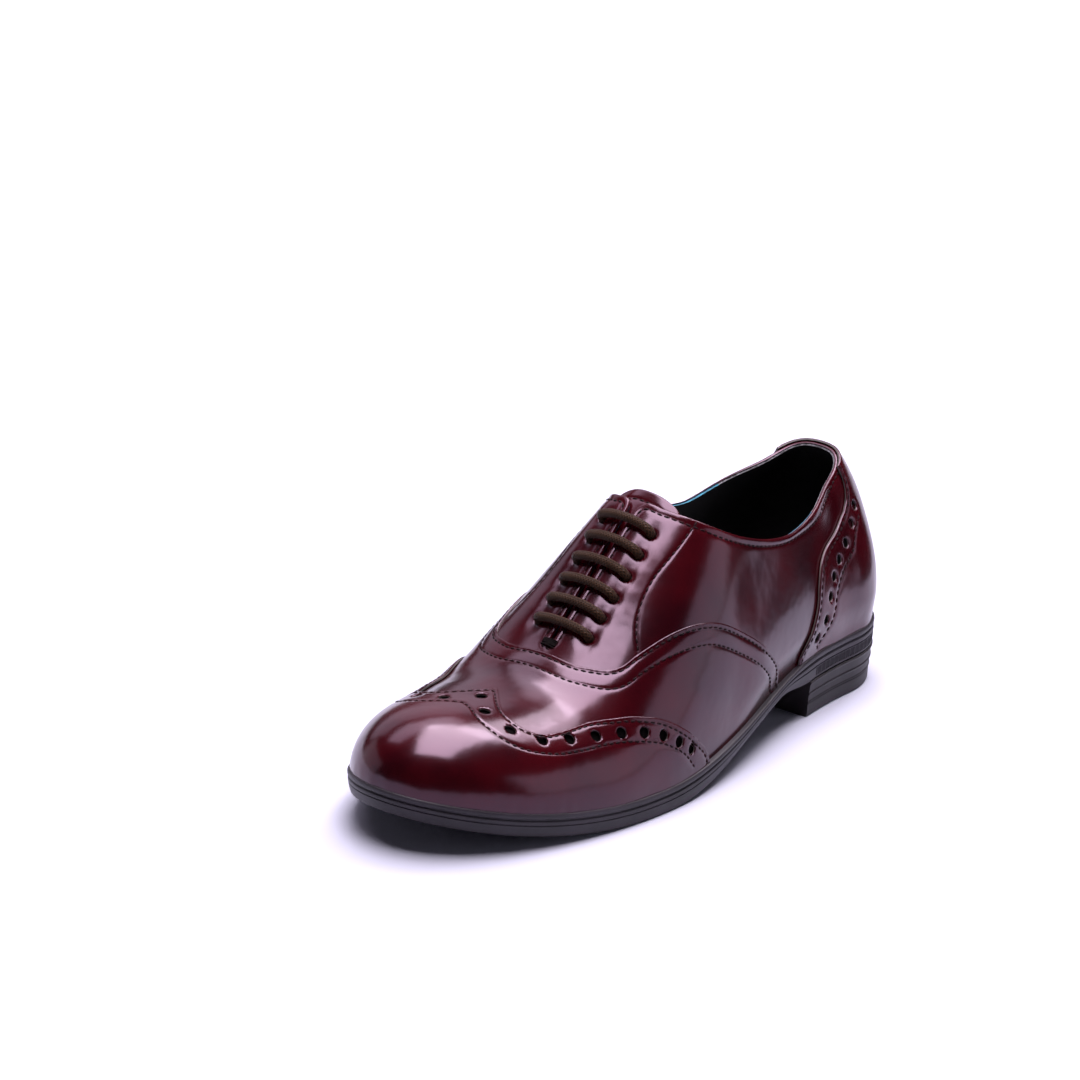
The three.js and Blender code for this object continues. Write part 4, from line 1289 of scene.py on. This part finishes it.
# The top lift's edge from the top down: height, and millimetres in.
TOP_LIFT_SIDE = [
    (TOP_LIFT_HEIGHT + 0.2, 0.35), (TOP_LIFT_HEIGHT, 0.08), (TOP_LIFT_HEIGHT - 0.3, 0.0),
    (0.9, 0.05), (0.4, 0.25), (0.12, 0.6), (0.0, 1.0),
]


def make_top_lift():
    feet, out, _ = heel_outline(1.0)
    rings = []
    for z, inward in TOP_LIFT_SIDE:
        grow = HEEL_LIP - 0.55 * HEEL_TAPER - 0.1 - inward
        rings.append(np.column_stack([feet[:, :2] + out * grow, np.full(len(feet), z)]))
    return stack_rings("heel_lift", rings, [HEEL])


def make_insole():
    feet, out = outline(24, 60)
    inward = WALL_BOTTOM - 0.4
    rings = []
    for up, more in ((INSOLE_THICKNESS, 0.8), (INSOLE_THICKNESS - 0.3, 0.1), (0.3, 0.0), (0.0, 0.3)):
        rings.append(np.column_stack([feet[:, :2] + out * (inward - more), feet[:, 2] + up]))
    return stack_rings("sock", rings, [LINING])


finish_piece(make_outsole(), "sole", "outsole")
finish_piece(make_heel_block(), "heel", "heel_block")
finish_piece(make_top_lift(), "heel", "top_lift")
finish_piece(make_insole(), "insole", "insole")


# Node trees for what repeats or follows a line.
def new_tree(name, sockets):
    """A geometry node tree with named inputs, each a kind and a starting value."""
    tree = bpy.data.node_groups.new(name, "GeometryNodeTree")
    tree.interface.new_socket("Geometry", in_out="INPUT", socket_type="NodeSocketGeometry")
    for socket_name, (kind, value) in sockets.items():
        made = tree.interface.new_socket(socket_name, in_out="INPUT", socket_type=kind)
        if value is not None:
            made.default_value = value
    tree.interface.new_socket("Geometry", in_out="OUTPUT", socket_type="NodeSocketGeometry")
    return tree, node(tree, "NodeGroupInput"), node(tree, "NodeGroupOutput")


def stitch_tree():
    """Stitches along lines: short threads that dip into the leather at both ends."""
    tree, given, result = new_tree("stitch_row", {
        "Pitch": ("NodeSocketFloat", STITCH_PITCH * MM),
        "Stitch": ("NodeSocketFloat", STITCH_LENGTH * MM),
        "Thread": ("NodeSocketFloat", THREAD_RADIUS * MM),
        "Rise": ("NodeSocketFloat", STITCH_RISE * MM),
        "Turn": ("NodeSocketFloat", 0.0),
        "Material": ("NodeSocketMaterial", None),
    })
    line = node(tree, "GeometryNodeMeshToCurve", {"Mesh": given.outputs["Geometry"]})
    spots = node(
        tree, "GeometryNodeResampleCurve",
        {"Curve": line.outputs["Curve"], "Length": given.outputs["Pitch"]}, mode="LENGTH",
    )
    half = node(tree, "ShaderNodeMath", {0: given.outputs["Stitch"], 1: 0.5}, operation="MULTIPLY")
    back = node(tree, "ShaderNodeMath", {0: given.outputs["Stitch"], 1: -0.5}, operation="MULTIPLY")
    dip = node(tree, "ShaderNodeMath", {0: given.outputs["Thread"], 1: -1.4}, operation="MULTIPLY")
    start = node(tree, "ShaderNodeCombineXYZ", {"X": back.outputs[0], "Z": dip.outputs[0]})
    crown = node(tree, "ShaderNodeCombineXYZ", {"Z": given.outputs["Rise"]})
    end = node(tree, "ShaderNodeCombineXYZ", {"X": half.outputs[0], "Z": dip.outputs[0]})
    bow = node(tree, "GeometryNodeCurveQuadraticBezier", {
        "Resolution": 5, "Start": start.outputs[0], "Middle": crown.outputs[0], "End": end.outputs[0],
    })
    section_ring = node(
        tree, "GeometryNodeCurvePrimitiveCircle", {"Resolution": 6, "Radius": given.outputs["Thread"]},
    )
    thread = node(tree, "GeometryNodeCurveToMesh", {
        "Curve": bow.outputs["Curve"], "Profile Curve": section_ring.outputs["Curve"], "Fill Caps": True,
    })
    normal = node(tree, "GeometryNodeInputNamedAttribute", {"Name": "lift"}, data_type="FLOAT_VECTOR")
    tangent = node(tree, "GeometryNodeInputTangent")
    lie = node(
        tree, "FunctionNodeAxesToRotation",
        {"Primary Axis": normal.outputs["Attribute"], "Secondary Axis": tangent.outputs["Tangent"]},
        primary_axis="Z", secondary_axis="X",
    )
    jitter = node(
        tree, "FunctionNodeRandomValue", {2: -0.09, 3: 0.09, "Seed": 7}, data_type="FLOAT",
    )
    angle = node(tree, "ShaderNodeMath", {0: jitter.outputs[1], 1: given.outputs["Turn"]}, operation="ADD")
    spin = node(tree, "FunctionNodeAxisAngleToRotation", {"Axis": (0, 0, 1), "Angle": angle.outputs[0]})
    turned = node(
        tree, "FunctionNodeRotateRotation",
        {"Rotation": lie.outputs["Rotation"], "Rotate By": spin.outputs["Rotation"]}, rotation_space="LOCAL",
    )
    placed = node(tree, "GeometryNodeInstanceOnPoints", {
        "Points": spots.outputs["Curve"],
        "Instance": thread.outputs["Mesh"],
        "Rotation": turned.outputs["Rotation"],
    })
    real = node(tree, "GeometryNodeRealizeInstances", {"Geometry": placed.outputs["Instances"]})
    shaded = node(tree, "GeometryNodeSetShadeSmooth", {"Geometry": real.outputs["Geometry"]})
    finished = node(tree, "GeometryNodeSetMaterial", {
        "Geometry": shaded.outputs["Geometry"], "Material": given.outputs["Material"],
    })
    tree.links.new(finished.outputs["Geometry"], result.inputs["Geometry"])
    return tree


def lace_tree():
    """A round cord along lines, which carries how far along and around it each point lies."""
    tree, given, result = new_tree("lace_bar", {
        "Diameter": ("NodeSocketFloat", LACE_DIAMETER * MM),
        "Step": ("NodeSocketFloat", 0.5 * MM),
        "Material": ("NodeSocketMaterial", None),
    })
    line = node(tree, "GeometryNodeMeshToCurve", {"Mesh": given.outputs["Geometry"]})
    fine = node(
        tree, "GeometryNodeResampleCurve",
        {"Curve": line.outputs["Curve"], "Length": given.outputs["Step"]}, mode="LENGTH",
    )
    place = node(tree, "GeometryNodeSplineParameter")
    millimetres = node(tree, "ShaderNodeMath", {0: place.outputs["Length"], 1: 1 / MM}, operation="MULTIPLY")
    along = node(
        tree, "GeometryNodeStoreNamedAttribute",
        {"Geometry": fine.outputs["Curve"], "Name": "along", "Value": millimetres.outputs[0]},
        data_type="FLOAT", domain="POINT",
    )
    radius = node(tree, "ShaderNodeMath", {0: given.outputs["Diameter"], 1: 0.5}, operation="MULTIPLY")
    ring = node(tree, "GeometryNodeCurvePrimitiveCircle", {"Resolution": 24, "Radius": radius.outputs[0]})
    round_place = node(tree, "GeometryNodeSplineParameter")
    around = node(
        tree, "GeometryNodeStoreNamedAttribute",
        {"Geometry": ring.outputs["Curve"], "Name": "around", "Value": round_place.outputs["Factor"]},
        data_type="FLOAT", domain="POINT",
    )
    cord = node(tree, "GeometryNodeCurveToMesh", {
        "Curve": along.outputs["Geometry"], "Profile Curve": around.outputs["Geometry"], "Fill Caps": True,
    })
    shaded = node(tree, "GeometryNodeSetShadeSmooth", {"Geometry": cord.outputs["Mesh"]})
    finished = node(tree, "GeometryNodeSetMaterial", {
        "Geometry": shaded.outputs["Geometry"], "Material": given.outputs["Material"],
    })
    tree.links.new(finished.outputs["Geometry"], result.inputs["Geometry"])
    return tree


def grow_along(name, lines, normals, tree, inputs):
    """Runs a tree on lines, with the inputs given by name, and gives the result as a plain mesh."""
    points = np.concatenate(lines)
    edges, count = [], 0
    for line in lines:
        edges += [(count + i, count + i + 1) for i in range(len(line) - 1)]
        count += len(line)
    mesh = bpy.data.meshes.new(name + "_lines")
    mesh.from_pydata((points * MM).tolist(), edges, [])
    lift = mesh.attributes.new("lift", "FLOAT_VECTOR", "POINT")
    lift.data.foreach_set("vector", np.concatenate(normals).astype(np.float32).ravel())
    source = bpy.data.objects.new(name + "_lines", mesh)
    bpy.context.scene.collection.objects.link(source)
    modifier = source.modifiers.new("grow", "NODES")
    modifier.node_group = tree
    sockets = {s.name: s.identifier for s in tree.interface.items_tree if s.in_out == "INPUT"}
    for key, value in inputs.items():
        modifier[sockets[key]] = value
    depsgraph = bpy.context.evaluated_depsgraph_get()
    result = bpy.data.meshes.new_from_object(source.evaluated_get(depsgraph), depsgraph=depsgraph)
    result.name = name
    bpy.data.objects.remove(source)
    made = bpy.data.objects.new(name, result)
    bpy.context.scene.collection.objects.link(made)
    return made


def on_leather(rows, height, clip=None):
    """Rows of the flattened leather laid on the shoe at a level, with the normals there."""
    lines, normals = [], []
    for row in rows:
        line = spaced(row, 0.5)
        ok = inside(line, FEATHER_INNER)
        if clip is not None:
            ok &= clip(line)
        breaks = np.flatnonzero(np.diff(ok.astype(int))) + 1
        for part, good in zip(np.split(line, breaks), np.split(ok, breaks)):
            if good[0] and len(part) > 6:
                laid, normal = wrap(part, lambda p: relief(p) + height)
                lines.append(laid)
                normals.append(normal)
    return lines, normals


FEATHER_INNER = feather_loop(-1.0)
STITCHES = stitch_tree()


def behind_wing(line):
    return ~inside(line, in_front_of(WING))


def off_collar(line):
    return ~inside(line, COLLAR) & (distance_to(line, [COLLAR_CLOSED]) > 1.2)


def before_vamp(line):
    return ~inside(line, in_front_of(VAMP)) & ~inside(line, behind(COUNTER))


def sew(name, groups):
    """Stitches along groups of rows, each with the level of its leather and what clips it."""
    lines, normals = [], []
    for rows, height, clip in groups:
        more_lines, more_normals = on_leather(rows, height - GROOVE_DEPTH + STITCH_LIFT, clip)
        lines += more_lines
        normals += more_normals
    made = grow_along(name, lines, normals, STITCHES, {"Material": THREAD})
    return finish_piece(made, "leather")


sew("upper_stitches", [
    ([WING_EDGE_ROW, WING_INNER_ROW], CAP_TOP, None),
    ([VAMP_EDGE_ROW, VAMP_INNER_ROW], VAMP_TOP, behind_wing),
    ([*COUNTER_EDGE_ROWS, *COUNTER_INNER_ROWS], COUNTER_TOP, off_collar),
    (FACING_ROWS, WALL_TOP, off_collar),
    ([COLLAR_ROW], WALL_TOP, before_vamp),
])
sew("tongue_stitches", [([TONGUE_ROW], TONGUE_TOP, None)])


def make_bar_tack():
    """Stitches across the foot of the slit, close together."""
    spots = np.array([(SLIT_END - 0.4 + k * TACK_PITCH, 0.0) for k in range(TACK_STITCHES)])
    line, normal = wrap(spots, level(WALL_TOP + 0.25))
    return grow_along("bar_tack", [line], [normal], STITCHES, {
        "Material": TACK_THREAD,
        "Pitch": TACK_PITCH * MM,
        "Stitch": TACK_WIDTH * MM,
        "Thread": TACK_THREAD_RADIUS * MM,
        "Rise": TACK_RISE * MM,
        "Turn": math.pi / 2,
    })


finish_piece(make_bar_tack(), "leather")


def lace_line(x):
    """One bar of lace, from hole to hole over the slit, its ends turned down into the holes."""
    lift = WALL_TOP + CLEARANCE + LACE_DIAMETER / 2
    rows = [
        (1.0, WALL_TOP - 2.2), (0.975, WALL_TOP - 1.2), (0.965, WALL_TOP + 0.2),
        (0.9, WALL_TOP + 1.5), (0.73, lift + 0.15), (0.3, lift + 0.2),
    ]
    inner = [(x, -share * INNER_LACE_HOLE, height) for share, height in rows]
    outer = [(x, share * OUTER_LACE_HOLE, height) for share, height in rows][::-1]
    knots = np.array(inner + outer)
    laid = lay_on_last(knots[:, 0], knots[:, 1])
    _, normal = wrap(knots[:, :2], level(0))
    return curve_through(laid + normal * knots[:, 2:], 12)


LACE_TREE = lace_tree()
for number, x in enumerate(LACE_XS, 1):
    line = lace_line(x)
    unused = np.zeros((len(line), 3))
    made = grow_along(f"lace_{number}", [line], [unused], LACE_TREE, {"Material": LACE})
    finish_piece(made, "lace", f"lace_bar_{number}")


# The floor, the camera and the lights.
def make_floor():
    """White paper, a flat sheet. Far from the shoe it has a painted glow, which stands in for the light a
    sweep catches where it curves up into the lamps."""
    material, tree, output = new_material("white_paper_painted_glow")
    place = node(tree, "ShaderNodeTexCoord").outputs["Object"]
    far = node(tree, "ShaderNodeVectorMath", {0: place}, operation="LENGTH")
    # Painted light: emission from none within 0.3 m of the shoe up to 0.6 at 1 m.
    painted_glow = node(
        tree, "ShaderNodeMapRange",
        {"Value": far.outputs["Value"], "From Min": 0.3, "From Max": 1.0, "To Min": 0.0, "To Max": 0.6},
    )
    shader = node(tree, "ShaderNodeBsdfPrincipled", {
        "Base Color": colour("#b8bac6"), "Roughness": 0.9, "Specular IOR Level": 0.1,
        "Emission Color": colour("#f6f6ff"), "Emission Strength": painted_glow.outputs["Result"],
    })
    tree.links.new(shader.outputs["BSDF"], output.inputs["Surface"])
    stage_sheet("floor", [(-4, -4, 0), (4, -4, 0), (4, 4, 0), (-4, 4, 0)], material)


def stage_sheet(name, corners, material):
    mesh = bpy.data.meshes.new(name)
    mesh.from_pydata(corners, [], [tuple(range(len(corners)))])
    mesh.materials.append(material)
    sheet = bpy.data.objects.new(name, mesh)
    bpy.context.scene.collection.objects.link(sheet)


# Black paper behind the heel, outside the picture, which darkens the quarter: corners in
# millimetres of the lying sheet, and the height of the sheet that stands on its far edge.
CARD_CORNERS = [(-160, 150), (-215, 40), (-480, 80), (-385, 290)]
CARD_HEIGHT = 110


def make_cards():
    black = plain_material("black_card", "#050505", "#030303", 0.9, 1.0, 0.02, Specular_IOR_Level=0.0)
    lying = [(x * MM, y * MM, 0.5 * MM) for x, y in CARD_CORNERS]
    top = [(x, y, CARD_HEIGHT * MM) for x, y, _ in lying]
    stage_sheet("card_lying", lying, black)
    stage_sheet("card_standing", [lying[2], lying[3], top[3], top[2]], black)


CAMERA_AZIMUTH = 125.48
CAMERA_ELEVATION = 20.59
CAMERA_ROLL = 3.72
CAMERA_DISTANCE = 2665.65
CAMERA_TARGET = Vector((86.64, -47.36, 60.0))
PIXELS_PER_MM = 2.892
IMAGE_SIDE = 1080
SENSOR_WIDTH = 36


def direction(azimuth, elevation):
    """The way from the shoe to a place, as the camera's and the lights' angles in degrees give it."""
    a, e = math.radians(azimuth), math.radians(elevation)
    return Vector((math.sin(a) * math.cos(e), -math.cos(a) * math.cos(e), math.sin(e)))


def make_camera():
    data = bpy.data.cameras.new("camera")
    data.sensor_width = SENSOR_WIDTH
    data.lens = SENSOR_WIDTH * PIXELS_PER_MM * CAMERA_DISTANCE / IMAGE_SIDE
    data.clip_end = 50
    back = direction(CAMERA_AZIMUTH, CAMERA_ELEVATION)
    right = (-back).cross(Vector((0, 0, 1))).normalized()
    up = right.cross(-back)
    c, s = math.cos(math.radians(CAMERA_ROLL)), math.sin(math.radians(CAMERA_ROLL))
    right, up = right * c + up * s, up * c - right * s
    place = (CAMERA_TARGET + back * CAMERA_DISTANCE) * MM
    camera = bpy.data.objects.new("camera", data)
    camera.matrix_world = Matrix((
        (right.x, up.x, back.x, place.x),
        (right.y, up.y, back.y, place.y),
        (right.z, up.z, back.z, place.z),
        (0, 0, 0, 1),
    ))
    bpy.context.scene.collection.objects.link(camera)
    bpy.context.scene.camera = camera


# Softboxes: place round the shoe by azimuth and elevation as the camera's, distance and size in
# metres, brightness of the cloth, and its colour.
SOFTBOXES = [
    ("overhead", 290, 85, 1.5, 1.0, 1.6, 9.6, "#fdf4ff"),
    ("back_panel", 268, 50, 1.6, 0.75, 0.75, 5.6, "#fdf4ff"),
    ("behind_high", 338, 54, 1.8, 1.7, 0.6, 2.3, "#f8ecff"),
    ("behind_low", 326, 24, 1.8, 1.7, 0.8, 0.7, "#f6e8ff"),
    ("outer_side", 209, 13, 1.8, 1.5, 0.8, 1.1, "#f2eeff"),
    ("inner_side", 20, 12, 1.8, 1.6, 0.8, 0.5, "#f4f0ff"),
]


def make_softboxes():
    aim = Vector((0.09, 0.0, 0.04))
    for name, azimuth, elevation, distance, width, height, brightness, tint in SOFTBOXES:
        data = bpy.data.lights.new(name, "AREA")
        data.shape = "RECTANGLE"
        data.size, data.size_y = width, height
        data.energy = 4 * brightness * width * height
        data.color = colour(tint)[:3]
        back = direction(azimuth, elevation)
        light = bpy.data.objects.new(name, data)
        light.location = aim + back * distance
        light.rotation_euler = back.to_track_quat("Z", "Y").to_euler()
        bpy.context.scene.collection.objects.link(light)


def make_world():
    world = bpy.data.worlds.new("studio")
    world.use_nodes = True
    background = world.node_tree.nodes["Background"]
    background.inputs["Color"].default_value = colour("#c9c8d6")
    background.inputs["Strength"].default_value = 0.03
    bpy.context.scene.world = world


make_floor()
make_cards()
make_camera()
make_softboxes()
make_world()
bpy.context.scene.view_settings.view_transform = "Standard"
